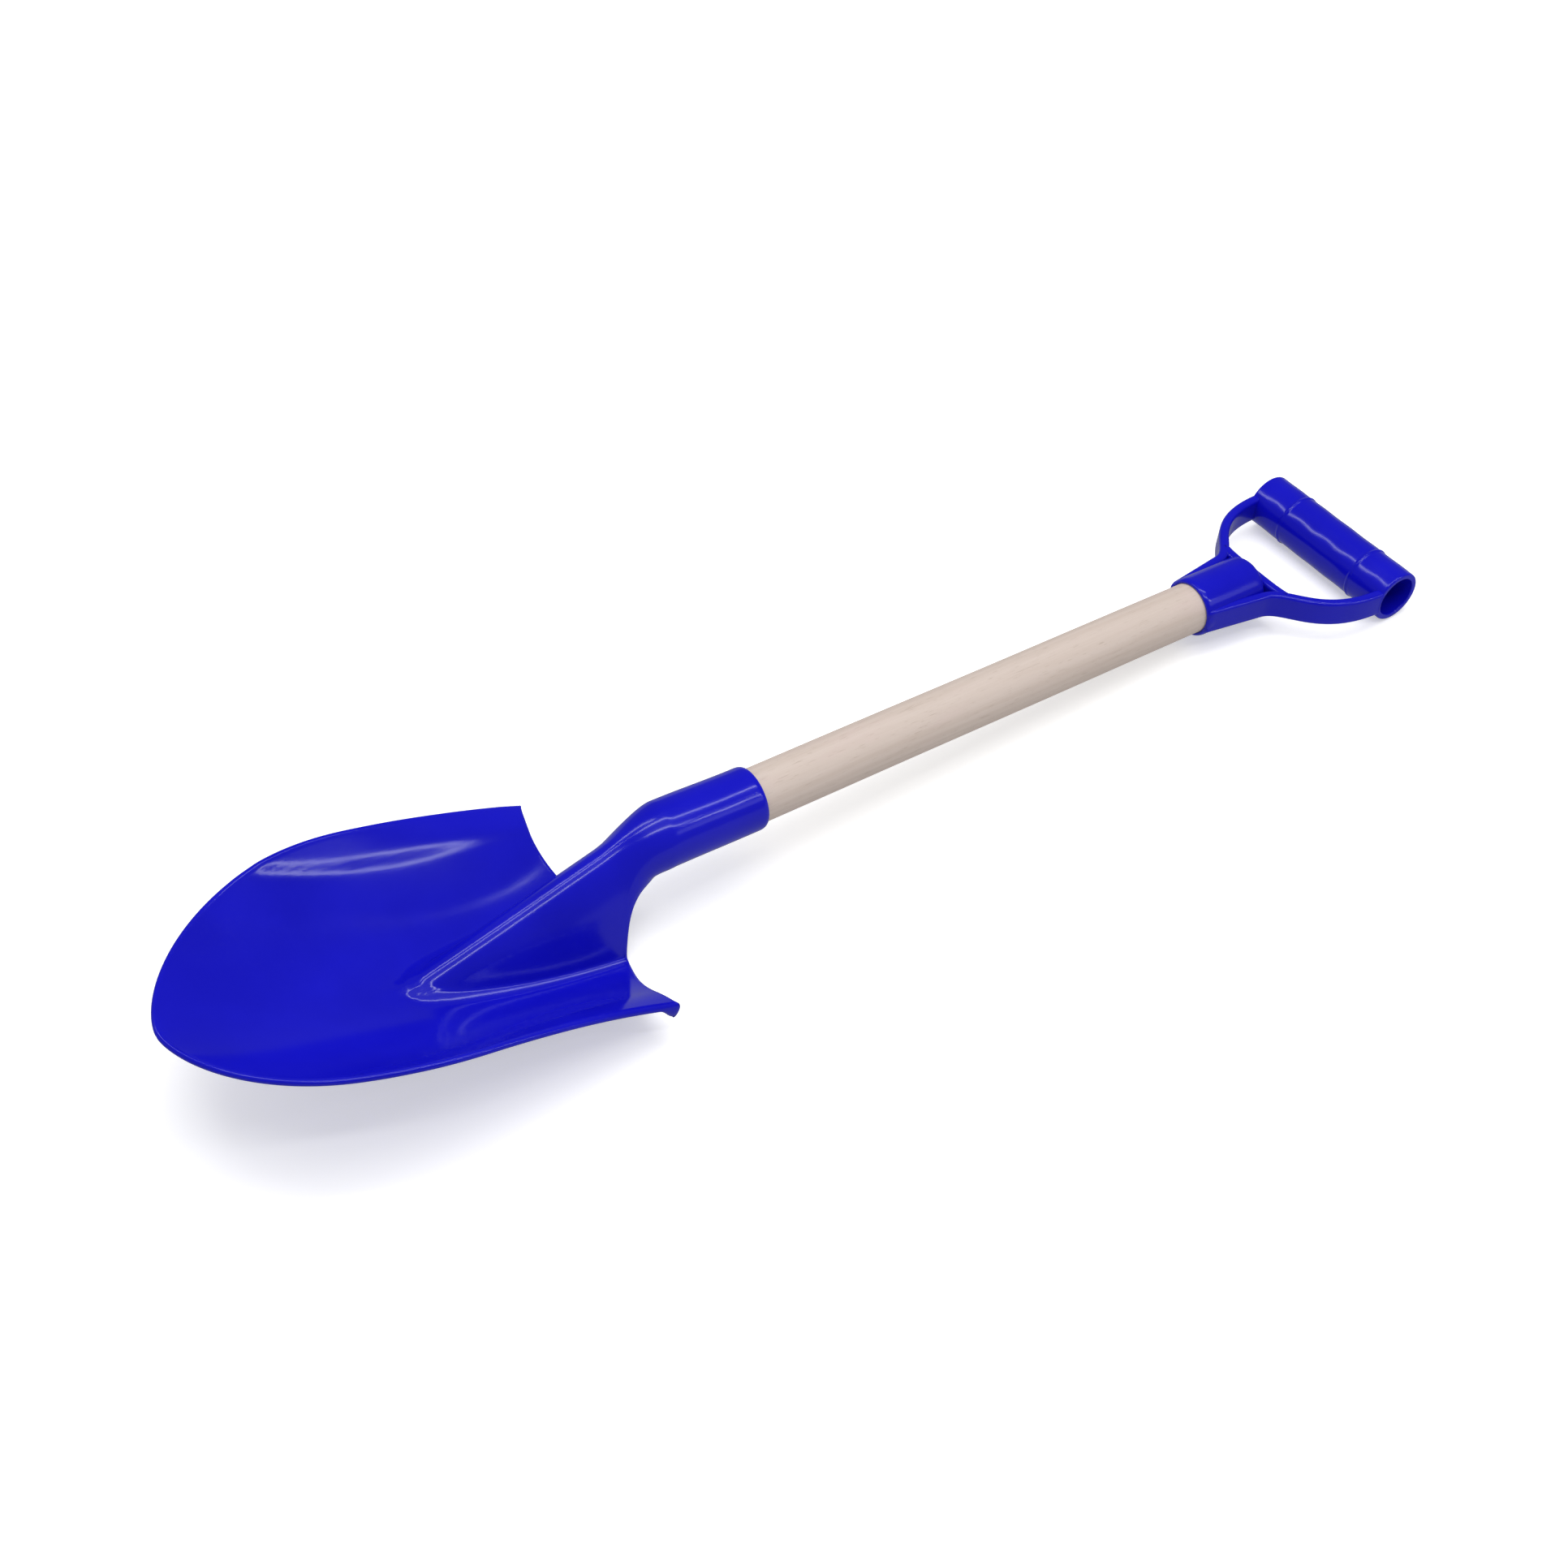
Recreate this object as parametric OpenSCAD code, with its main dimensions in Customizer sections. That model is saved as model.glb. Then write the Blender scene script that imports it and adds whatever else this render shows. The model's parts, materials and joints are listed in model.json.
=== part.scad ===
// A child's sand shovel: a dished plastic blade and a plastic D-grip on a wooden dowel.
// Shapes are worked out in the shaft frame: x runs along the dowel, from the mouth of the
// blade's socket at 0 toward the grip, and z rises on the dish side. The whole shovel is then
// laid face up on level ground, where it rests on the blade's belly and on the crossbar.

/* [Overall] */
// Length from the tip of the blade to the far side of the crossbar
overall_len = 533.4; // [480:1:620]

/* [Blade] */
// Length of the blade, from its tip to its back corners
blade_len = 161.8; // [135:0.2:180]
// Width of the blade where its rounded nose ends
blade_w = 112; // [100:1:130]
// Width across the two back corners
shoulder_w = 114; // [90:1:130]
// Length of the rounded nose, from the tip to the blade's sides
nose_len = 90; // [75:1:110]
// Length of the level stretch of rim behind the tip
rim_level_len = 48; // [40:1:90]
// Height of the nose's rim over the shaft's axis
nose_lift = 10.1; // [0:0.1:16]
// Drop of the back corners under the shaft's axis
corner_drop = 19.6; // [14:0.1:26]
// Drop of the dish's floor under the shaft's axis, at the back edge
floor_drop = 33.8; // [30:0.1:42]
// Depth of the hollow arc in each half of the back edge
back_bow = 3.6; // [0:0.2:6]
// Thickness of the blade's sheet
blade_wall = 2.4; // [1.8:0.1:3]

/* [Frog and neck] */
// Reach of the raised frog into the dish, ahead of the back edge
frog_len = 80.8; // [60:0.2:95]
// Height of the frog's crest over the shaft's axis, at the back edge
crest_back = 4.8; // [0:0.2:8]
// Radius of the crest at the frog's point
crest_r_front = 5.5; // [3.6:0.1:6.5]
// Radius of the crest at the back edge
crest_r_back = 5; // [4.4:0.1:7.5]
// Half of the frog's width at the back edge, at its foot
foot_half = 19.4; // [17:0.2:24]
// Size of the fillet between the frog and the dish
frog_fillet = 3; // [1:0.2:5]
// Length of the neck with its socket, from the back corners to the socket's mouth
neck_len = 62.2; // [58:0.2:80]
// Half of the neck's width behind the blade
neck_half = 12.6; // [12:0.1:15]
// Distance in which the neck's lower edge sweeps up from the blade
edge_sweep = 4.5; // [3:0.5:7]
// Growth of the socket's diameter from its mouth to the neck
neck_swell = 0.5; // [0:0.1:2]
// Lift of the socket's outside where the neck runs into it
neck_lift = 1; // [0:0.1:1.2]
// Size of the bend between the sloping crest and the socket
crest_bend = 5.7; // [2:0.1:8]

/* [Dowel and sockets] */
// Diameter of the wooden dowel
dowel_d = 21.1; // [18:0.1:23]
// Bevel around the dowel's ends
dowel_bevel = 1; // [0.4:0.1:2]
// Gap all round between the dowel and its sockets
fit_gap = 0.1; // [0.05:0.05:0.2]
// Gap between an end of the dowel and the floor of its socket
end_gap = 0.3; // [0.1:0.1:0.6]
// Wall of the blade's socket
blade_socket_wall = 1.75; // [1.6:0.05:3]
// Depth of the bore in the blade's socket
blade_bore_len = 32; // [28:1:34]
// Wall of the grip's socket
grip_socket_wall = 1.75; // [1.5:0.05:2.5]
// Depth of the bore in the grip's socket
grip_bore_len = 29; // [24:1:31]

/* [D grip] */
// Distance from the mouth of the grip's socket to the crossbar's axis
grip_reach = 81.6; // [76:0.2:95]
// Length of the crossbar
bar_len = 78; // [72:1:100]
// Outer diameter of the crossbar
bar_d = 22.9; // [20:0.1:26]
// Diameter of the bore through the crossbar
bar_bore_d = 17.6; // [12:0.1:18]
// Bevel at the crossbar's ends
bar_bevel = 0.6; // [0.2:0.1:1]
// Distance of each moulding ring from the middle of the crossbar
ring_offset = 20.7; // [15:0.1:26]
// Width of a moulding ring
ring_w = 0.8; // [0.4:0.1:1.5]
// Height of a moulding ring over the crossbar
ring_h = 0.25; // [0.1:0.05:0.5]
// Length of the grip's socket, from its mouth to the top of its dome
grip_socket_len = 35; // [33:0.5:38]
// Length of the dome that closes the grip's socket
dome_len = 6; // [3:0.5:8]
// Thickness of an arm, seen from above
arm_t = 4.2; // [3:0.1:5.5]
// Height of an arm, seen from the side
arm_h = 11.5; // [9:0.5:14]
// Rounding of an arm's long edges
arm_round = 1.6; // [0.8:0.1:2]
// Distance of an arm's middle line from the axis, at the socket's mouth
fin_in = 10.7; // [9.5:0.1:11.5]
// Distance of an arm's middle line from the axis, where it leaves the socket
fin_out = 13.8; // [12.5:0.1:15]
// Distance from the socket's mouth to the place where the arms leave the socket
fin_len = 28; // [24:0.5:32]
// Distance from the socket's mouth to the bar that joins the two arms
base_reach = 35.4; // [33:0.2:38]

/* [Screws] */
// Diameter of a screw's shank
screw_d = 2.8; // [2.2:0.1:3.5]
// Length of a screw under its head
screw_len = 9.5; // [8:0.5:12]
// Diameter of a screw's head
head_d = 5.6; // [4.5:0.1:6]
// Height of a screw's head
head_h = 1.9; // [1.2:0.1:2.2]
// Gap all round between a screw's shank and its hole
screw_gap = 0.05; // [0.05:0.05:0.2]
// Depth of the flat seat cut for a screw's head
seat_depth = 0.6; // [0.5:0.1:0.8]
// Gap all round between a screw's head and the wall of its seat
seat_gap = 0.4; // [0.2:0.1:0.6]
// Distance of the blade's screw from the mouth of its socket
blade_screw_x = 12; // [8:1:20]
// Distance of the grip's screw from the mouth of its socket
grip_screw_x = 15; // [8:1:22]

/* [Hidden] */

// Overrun of every cut past the face that it opens
over = 1;

// Places along the shaft
x_back = -neck_len;
x_tip = x_back - blade_len;
x_wide = x_tip + nose_len;
x_level = x_tip + rim_level_len;
x_frog = x_back - frog_len;
x_bar = overall_len + x_tip - bar_d / 2;
x_grip = x_bar - grip_reach;

// Radii of the sockets
bore_r = dowel_d / 2 + fit_gap;
blade_socket_r = bore_r + blade_socket_wall;
grip_socket_r = bore_r + grip_socket_wall;

// Powers that shape the dish: its floor along x, its rim, and its section across y
floor_power = 1.8;
rim_power = 1.72;
wall_power = 1.7;
bowl_power = 2;

// Powers of the rounded nose's outline, of the blade's sides and of the hollow back edge
nose_power = 2.2;
nose_root = 1.6;
side_power = 2;
bow_power = 1.25;

// Power with which the frog's crest climbs from the floor
ramp_power = 1.09;

// Share of the blade's length over which the flared section fades into a plain bowl
flare_share = 0.6;

function clamp(v) = max(0, min(1, v));
function mix(a, b, t) = a + (b - a) * t;
function ease(t) = clamp(t) * clamp(t) * (3 - 2 * clamp(t));
function soft_max(a, b, k) = (a + b + sqrt((a - b) * (a - b) + k * k)) / 2;
function soft_min(a, b, k) = (a + b - sqrt((a - b) * (a - b) + k * k)) / 2;
function step_share(i, n) = i / n;

// Dish: share of the blade's length ahead of the back edge, then floor, rim and section
function ahead_share(x) = clamp((x_back - x) / blade_len);
function floor_z(x) = mix(-floor_drop, nose_lift, pow(ahead_share(x), floor_power));
function rim_z(x) =
    mix(nose_lift, -corner_drop, pow(clamp((x - x_level) / (x_back - x_level)), rim_power));
function nose_half(x) =
    blade_w / 2 * pow(1 - pow(clamp((x_wide - x) / nose_len), nose_power), 1 / nose_root);
function side_half(x) =
    mix(blade_w, shoulder_w, pow(clamp((x - x_wide) / (x_back - x_wide)), side_power)) / 2;
function rim_half(x) = x < x_wide ? nose_half(x) : side_half(x);
function flare(x) = 1 - ease(ahead_share(x) / flare_share);
function wall_share(t, x) =
    mix(pow(t, bowl_power), pow(sin(90 * pow(t, wall_power)), 2), flare(x));
function dish_z(x, y) =
    mix(floor_z(x), rim_z(x), wall_share(clamp(abs(y) / max(rim_half(x), blade_wall)), x));

// Frog: a rising crest with a parabola across it, bent over into the socket
function swell_share(x) = 1 - ease((x - x_join) / -x_join);
function socket_r_at(x) = blade_socket_r + neck_swell / 2 * swell_share(x);
function socket_z_at(x) = neck_lift * swell_share(x);
function ramp_z(x) =
    mix(floor_z(x_frog), crest_back, pow(max(0, (x - x_frog) / frog_len), ramp_power));
function crest_z(x) = soft_min(ramp_z(x), socket_r_at(x) + socket_z_at(x), crest_bend);
function crest_r(x) = mix(crest_r_front, crest_r_back, clamp((x - x_frog) / frog_len));
function frog_z(x, y) = crest_z(x) - y * y / (2 * crest_r(x));
function top_z(x, y) = soft_max(dish_z(x, y), frog_z(x, y), frog_fillet);

// Blade: rows of points across the upper face. A row is written as its middle x, the x and
// the half width at its two edges, and the share by which it is wrapped onto the socket.
nose_rows = 13;
side_rows = 9;
back_rows = 7;
neck_rows = 10;
socket_rows = 4;
across = 44;
first_angle = 12;
x_join = -blade_bore_len - 2 * blade_wall;
x_web = -blade_bore_len - blade_wall / 2;
row_bow = 8 * blade_wall;
tip_bow = nose_len * (1 - cos(first_angle));

// Angles of the wrapped arch: half open at the blade, nearly closed at the socket
arch_open = 95;
arch_closed = 166;
web_half_angle = 12;

// Share of a row's points that lies on the frog, and the least and most of a row's width
// that those points take
frog_points_share = 0.5;
frog_least_share = 0.15;
frog_most_share = 0.8;

// Powers that draw points together: at the foot of the frog, in the rows that end at the back
// edge, and in the rows behind it
foot_power = 1.4;
back_power = 1.6;
neck_power = 1.3;
wrap_power = 0.7;

function nose_row(i) =
    let (a = mix(first_angle, 90, step_share(i, nose_rows)),
         x = x_wide - nose_len * cos(a))
    [x - mix(tip_bow, row_bow, step_share(i, nose_rows + side_rows)), x, nose_half(x), 0];
function side_row(i) =
    let (x = mix(x_wide, x_back, step_share(i, side_rows)))
    [x - mix(tip_bow, row_bow, step_share(nose_rows + i, nose_rows + side_rows)),
     x, side_half(x), 0];
function back_edge_x(corner_share) =
    let (p = pow(corner_share, bow_power)) x_back - back_bow * 4 * p * (1 - p);
function back_row(i) =
    let (s = step_share(i, back_rows), c = pow(1 - s, back_power))
    [x_back - row_bow * (1 - s), back_edge_x(c), mix(foot_half, shoulder_w / 2, c), 0];
function edge_half(x) = neck_half + (foot_half - neck_half) * exp((x_back - x) / edge_sweep);
function neck_row(i) =
    let (s = pow(step_share(i, neck_rows), neck_power), x = mix(x_back, x_join, s))
    [x, x, edge_half(x), ease(s)];

thin_rows = [
    for (i = [0:nose_rows - 1]) nose_row(i),
    for (i = [0:side_rows - 1]) side_row(i),
    for (i = [0:back_rows - 1]) back_row(i),
    for (i = [0:neck_rows]) neck_row(i)
];
closed_xs = [for (i = [0:socket_rows]) mix(x_web, 0, step_share(i, socket_rows))];

// Across a row the points follow the foot of the frog, so that its edge stays even. Ahead of
// the frog they close in on a share of the row, and round the neck they are spread evenly.
function frog_half(x) = sqrt(2 * crest_r(x) * max(0, crest_z(x) - floor_z(x)));
function frog_share(x, half) =
    max(frog_least_share, min(frog_most_share, frog_half(x) / half));
function row_share(row) =
    let (s = frog_share(row[0], row[2]))
    frog_share(mix(row[0], row[1], s * s), row[2]);
function spread(u, share) =
    let (a = abs(u), b = frog_points_share,
         g = a < b ? share * (1 - pow(1 - a / b, foot_power))
                   : mix(share, 1, pow((a - b) / (1 - b), foot_power)))
    u < 0 ? -g : g;
function plan_point(row, u) =
    let (g = mix(spread(u, row_share(row)), u, row[3]))
    [mix(row[0], row[1], g * g), row[2] * g];
function arch_angle(row, u) = u * mix(arch_open, arch_closed, pow(row[3], wrap_power));
function arch_point(x, a) =
    let (r = socket_r_at(x))
    [x, r * sin(a), socket_z_at(x) + crest_z(x) - crest_z(x_join) + r * cos(a)];
function sheet_point(row, u) =
    let (p = plan_point(row, u))
    mix([p[0], p[1], top_z(p[0], p[1])], arch_point(p[0], arch_angle(row, u)), row[3]);
function tube_point(x, a) =
    [x, socket_r_at(x) * sin(a), socket_z_at(x) + socket_r_at(x) * cos(a)];

us = [for (j = [0:across]) mix(-1, 1, step_share(j, across))];
thin_top = [for (row = thin_rows) [for (u = us) sheet_point(row, u)]];
closed_top = [for (x = closed_xs) [for (u = us) tube_point(x, u * arch_closed)]];
top_grid = concat(thin_top, closed_top);

// Under face: each point of the sheet goes down its own normal by the wall. The normal is
// found from two probes, backward and inward, so that no probe leaves the sheet. Inside the
// socket the under face closes the tube along its lowest line, which forms the end web.
probe = blade_wall / 12;
function unit(v) = v / norm(v);
function top_normal(p) =
    let (z = top_z(p[0], p[1]), inward = p[1] < 0 ? probe : -probe)
    unit([(z - top_z(p[0] + probe, p[1])) / probe, (z - top_z(p[0], p[1] + inward)) / inward, 1]);
function sheet_normal(row, u) =
    let (a = arch_angle(row, u))
    unit(mix(top_normal(plan_point(row, u)), [0, sin(a), cos(a)], row[3]));
thin_under = [
    for (row = thin_rows) [for (u = us) sheet_point(row, u) - blade_wall * sheet_normal(row, u)]
];
closed_under = [for (x = closed_xs) [for (u = us) tube_point(x, 180 - u * web_half_angle)]];
under_grid = concat(thin_under, closed_under);

// Faces between two grids of equal size, closed along all four borders
function flat(rows) = [for (row = rows) for (p = row) p];
function quad(a, b, c, d) = [[a, b, c], [a, c, d]];
function shell_faces(n, m) =
    let (k = n * m)
    [
        for (i = [0:n - 2]) for (j = [0:m - 2])
            each quad(i * m + j, i * m + j + 1, (i + 1) * m + j + 1, (i + 1) * m + j),
        for (i = [0:n - 2]) for (j = [0:m - 2])
            each quad(k + i * m + j, k + (i + 1) * m + j, k + (i + 1) * m + j + 1, k + i * m + j + 1),
        for (i = [0:n - 2]) each quad(i * m, (i + 1) * m, k + (i + 1) * m, k + i * m),
        for (i = [0:n - 2])
            each quad(i * m + m - 1, k + i * m + m - 1, k + (i + 1) * m + m - 1, (i + 1) * m + m - 1),
        for (j = [0:m - 2]) each quad(j, k + j, k + j + 1, j + 1),
        for (j = [0:m - 2])
            each quad((n - 1) * m + j, (n - 1) * m + j + 1, k + (n - 1) * m + j + 1, k + (n - 1) * m + j)
    ];

// Rest pose: the line under the shovel touches the crossbar's rings and one point of the belly
ring_r = bar_d / 2 + ring_h;
function rest_angle(p) =
    let (d = x_bar - p[0], h = -p[2], reach = norm([d, h]))
    atan2(h, d) - asin(ring_r / reach);
rest_tilt = max([for (row = under_grid) for (p = row) rest_angle(p)]);
function rest_x(p) = p[0] * cos(rest_tilt) + p[2] * sin(rest_tilt);
function rest_z(p) = p[2] * cos(rest_tilt) - p[0] * sin(rest_tilt);
bar_rest = [x_bar, 0, 0];
rest_low = rest_z(bar_rest) - ring_r;
rest_back = min([for (p = concat(flat(top_grid), flat(under_grid))) rest_x(p)]);
rest_front = rest_x(bar_rest) + ring_r;

module at_rest() {
    translate([-(rest_back + rest_front) / 2, 0, -rest_low])
        rotate([0, rest_tilt, 0])
            children();
}

module along_x(x, len, r) {
    translate([x, 0, 0])
        rotate([0, 90, 0])
            cylinder(h = len, r = r, $fn = 96);
}

// Distance of the blade socket's underside from the axis, where its screw enters
blade_screw_r = socket_r_at(-blade_screw_x) - socket_z_at(-blade_screw_x);

// Seat and hole of a screw that enters from the underside of a socket
module screw_hole(x, socket_r) {
    translate([x, 0, -socket_r - over])
        cylinder(h = seat_depth + over, d = head_d + 2 * seat_gap, $fn = 48);
    translate([x, 0, -socket_r - over])
        cylinder(h = over + seat_depth + screw_len + end_gap, d = screw_d + 2 * screw_gap, $fn = 32);
}

module blade() {
    color("mediumblue")
        at_rest()
            difference() {
                polyhedron(
                    points = concat(flat(top_grid), flat(under_grid)),
                    faces = shell_faces(len(top_grid), across + 1)
                );
                along_x(-blade_bore_len, blade_bore_len + over, bore_r);
                screw_hole(-blade_screw_x, blade_screw_r);
            }
}

// Dowel: one turned stick with bevelled ends, drilled where the two screws bite
module dowel() {
    x0 = -blade_bore_len + end_gap;
    x1 = x_grip + grip_bore_len - end_gap;
    r = dowel_d / 2;
    color("bisque")
        at_rest()
            difference() {
                translate([x0, 0, 0])
                    rotate([0, 90, 0])
                        rotate_extrude($fn = 96)
                            polygon([
                                [0, 0], [r - dowel_bevel, 0], [r, dowel_bevel],
                                [r, x1 - x0 - dowel_bevel], [r - dowel_bevel, x1 - x0], [0, x1 - x0]
                            ]);
                screw_hole(-blade_screw_x, blade_screw_r);
                screw_hole(x_grip + grip_screw_x, grip_socket_r);
            }
}

// Arms of the D: a rounded bar swept along a route in the plane of the shaft and crossbar.
// The route starts in the socket's side at its mouth, where it shows as a fin, leaves the
// socket in an outward bend and ends in the crossbar.
arm_steps = 26;
round_steps = 4;
arm_end_y = bar_len / 2 - arm_t / 2;
arm_start = [x_grip, fin_in];
arm_leave = [x_grip + fin_len, fin_out];
arm_stop = [x_bar, arm_end_y];

// Pulls of the arm's curve: as shares of the arm's height along the shaft, and of its
// thickness across it
pull_out_shares = [1.2, 0.5];
pull_back_shares = [1, 0.25];
arm_pull_out = arm_leave + [pull_out_shares[0] * arm_h, pull_out_shares[1] * arm_t];
arm_pull_back = [arm_leave[0] + pull_back_shares[0] * arm_h, arm_end_y + pull_back_shares[1] * arm_t];

// Share of the arm's curve at which the joining bar runs into it, and the power of its bow
base_end_share = 0.25;
base_power = 4;

function bezier(p, t) =
    p[0] * pow(1 - t, 3) + 3 * p[1] * pow(1 - t, 2) * t + 3 * p[2] * (1 - t) * t * t + p[3] * pow(t, 3);
function arm_point(t) =
    bezier([arm_leave, arm_pull_out, arm_pull_back, arm_stop], t);
fin_steps = 4;
arm_route = [
    for (i = [0:fin_steps - 1]) mix(arm_start, arm_leave, step_share(i, fin_steps)),
    for (i = [0:arm_steps]) arm_point(step_share(i, arm_steps))
];

// Bar that joins the arms behind the socket's dome: it bows forward into them at its ends
base_end = arm_point(base_end_share);
base_steps = 12;
base_route = [
    for (i = [0:base_steps])
    let (s = mix(-1, 1, step_share(i, base_steps)))
    [mix(x_grip + base_reach, base_end[0], pow(s, base_power)), base_end[1] * s]
];

// Outline of an arm's section: a rectangle with four rounded corners
arm_section = [
    for (q = [0:3]) for (k = [0:round_steps])
    let (a = 90 * q + 90 * step_share(k, round_steps),
         sx = q == 0 || q == 3 ? 1 : -1, sy = q < 2 ? 1 : -1)
    [sx * (arm_t / 2 - arm_round) + arm_round * cos(a),
     sy * (arm_h / 2 - arm_round) + arm_round * sin(a)]
];
function route_way(route, i) =
    unit(route[min(i + 1, len(route) - 1)] - route[max(i - 1, 0)]);
function route_ring(route, i) =
    let (w = route_way(route, i), side = [w[1], -w[0]])
    [for (q = arm_section) [route[i][0] + side[0] * q[0], route[i][1] + side[1] * q[0], q[1]]];
function wrap_faces(n, m) = [
    for (i = [0:n - 2]) for (j = [0:m - 1])
        each quad(i * m + j, i * m + (j + 1) % m, (i + 1) * m + (j + 1) % m, (i + 1) * m + j),
    [for (j = [m - 1:-1:0]) j],
    [for (j = [0:m - 1]) (n - 1) * m + j]
];
module swept_bar(route) {
    polyhedron(
        points = [for (i = [0:len(route) - 1]) each route_ring(route, i)],
        faces = wrap_faces(len(route), len(arm_section))
    );
}

// Profile of the grip's socket: a straight tube closed by a quarter-ellipse dome
dome_steps = 8;
socket_profile = [
    [0, 0], [grip_socket_r, 0],
    for (i = [0:dome_steps])
    let (a = 90 * step_share(i, dome_steps))
    [grip_socket_r * cos(a), grip_socket_len - dome_len + dome_len * sin(a)]
];

module crossbar() {
    r = bar_d / 2;
    translate([x_bar, -bar_len / 2, 0])
        rotate([-90, 0, 0])
            rotate_extrude($fn = 96)
                polygon([
                    [0, 0], [r - bar_bevel, 0], [r, bar_bevel],
                    [r, bar_len - bar_bevel], [r - bar_bevel, bar_len], [0, bar_len]
                ]);
    for (side = [-1, 1])
        translate([x_bar, side * ring_offset - ring_w / 2, 0])
            rotate([-90, 0, 0])
                cylinder(h = ring_w, r = ring_r, $fn = 96);
}

module grip() {
    color("mediumblue")
        at_rest()
            difference() {
                union() {
                    translate([x_grip, 0, 0])
                        rotate([0, 90, 0])
                            rotate_extrude($fn = 96)
                                polygon(socket_profile);
                    swept_bar(arm_route);
                    mirror([0, 1, 0])
                        swept_bar(arm_route);
                    swept_bar(base_route);
                    crossbar();
                }
                along_x(x_grip - over, grip_bore_len + over, bore_r);
                translate([x_bar, -bar_len / 2 - over, 0])
                    rotate([-90, 0, 0])
                        cylinder(h = bar_len + 2 * over, d = bar_bore_d, $fn = 96);
                screw_hole(x_grip + grip_screw_x, grip_socket_r);
            }
}

// Screw: a low domed head, a straight shank and a point
point_share = 0.7;
module pan_screw(x, socket_r) {
    head_steps = 6;
    point_len = point_share * screw_d;
    seat_z = -socket_r + seat_depth;
    translate([x, 0, seat_z])
        rotate_extrude($fn = 48)
            polygon([
                for (i = [0:head_steps])
                let (a = 90 * step_share(i, head_steps))
                [head_d / 2 * sin(a), -head_h * cos(a)],
                [screw_d / 2, 0],
                [screw_d / 2, screw_len - point_len],
                [0, screw_len]
            ]);
}

module blade_screw() {
    color("silver")
        at_rest()
            pan_screw(-blade_screw_x, blade_screw_r);
}

module grip_screw() {
    color("silver")
        at_rest()
            pan_screw(x_grip + grip_screw_x, grip_socket_r);
}

blade();
dowel();
grip();
blade_screw();
grip_screw();
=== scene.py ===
"""Dresses a child's sand shovel around its solids: blue blade and D-grip on a wooden dowel.

Shapes are worked out in millimetres in the shaft frame, where x runs along the dowel from the
mouth of the blade's socket, y runs to the left and z rises on the dish side. Shaft.place() puts
them into the frame of the solids, in metres.
"""
import json
import logging
import math
from dataclasses import dataclass
from enum import Enum
from typing import Any

import bmesh
import bpy
import numpy as np
from mathutils import Matrix, Vector


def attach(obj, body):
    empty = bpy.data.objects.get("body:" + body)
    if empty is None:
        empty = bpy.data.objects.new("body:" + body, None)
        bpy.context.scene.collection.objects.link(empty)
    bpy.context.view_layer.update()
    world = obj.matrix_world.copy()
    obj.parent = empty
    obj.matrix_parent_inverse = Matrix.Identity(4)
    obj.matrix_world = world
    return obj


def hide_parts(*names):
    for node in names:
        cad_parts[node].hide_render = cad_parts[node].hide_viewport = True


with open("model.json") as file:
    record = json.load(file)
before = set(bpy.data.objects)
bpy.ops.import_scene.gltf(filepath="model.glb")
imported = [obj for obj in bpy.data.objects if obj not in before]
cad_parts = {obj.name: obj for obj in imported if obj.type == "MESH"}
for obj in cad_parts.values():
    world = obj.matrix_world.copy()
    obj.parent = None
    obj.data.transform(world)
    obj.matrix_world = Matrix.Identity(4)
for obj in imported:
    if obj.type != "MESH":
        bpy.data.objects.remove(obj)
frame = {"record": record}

Array = np.ndarray
Triple = tuple[float, float, float]
log = logging.getLogger("sand_shovel")

MM = 0.001
TAU = 2 * math.pi


# Small numeric helpers


def mix(a: Any, b: Any, t: Any) -> Any:
    """Returns a at t = 0 and b at t = 1, and a straight blend between."""
    return a + (b - a) * t


def clip01(v: Any) -> Any:
    """Returns v held between 0 and 1."""
    return np.clip(v, 0.0, 1.0)


def ease(t: Any) -> Any:
    """Returns the smooth step 3t^2 - 2t^3 of t held between 0 and 1."""
    t = clip01(t)
    return t * t * (3 - 2 * t)


def soft_max(a: Any, b: Any, k: float) -> Any:
    """Returns the larger of a and b, rounded over a span of about k."""
    return (a + b + np.sqrt((a - b) ** 2 + k * k)) / 2


def soft_min(a: Any, b: Any, k: float) -> Any:
    """Returns the smaller of a and b, rounded over a span of about k."""
    return (a + b - np.sqrt((a - b) ** 2 + k * k)) / 2


def hump(d: Any, width: float) -> Any:
    """Returns a bell of height 1 at d = 0 that falls to nothing at a distance of width."""
    return ease(1 - np.abs(d) / width)


def unit(v: Array) -> Array:
    """Returns the vectors of the last axis at length 1."""
    return v / np.maximum(np.linalg.norm(v, axis=-1, keepdims=True), 1e-12)


def stack(x: Any, y: Any, z: Any) -> Array:
    """Returns points of three coordinate arrays, which are broadcast against each other."""
    return np.stack(np.broadcast_arrays(x, y, z), axis=-1)


def round_turn(columns: int) -> Array:
    """Returns the angles of one full turn, whose last is 0 again so that the seam closes."""
    a = np.linspace(0.0, TAU, columns + 1)
    a[-1] = 0.0
    return a


def arc(cx: float, cy: float, rx: float, ry: float, a0: float, a1: float, n: int) -> Array:
    """Returns n + 1 points of an elliptical arc round (cx, cy), from a0 to a1 degrees."""
    a = np.radians(np.linspace(a0, a1, n + 1))
    return np.stack([cx + rx * np.cos(a), cy + ry * np.sin(a)], axis=-1)


def line(x0: float, y0: float, x1: float, y1: float, n: int) -> Array:
    """Returns n + 1 evenly spaced points from (x0, y0) to (x1, y1)."""
    t = np.linspace(0.0, 1.0, n + 1)[:, None]
    return mix(np.array([x0, y0]), np.array([x1, y1]), t)


# Placing and joining surfaces


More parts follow.
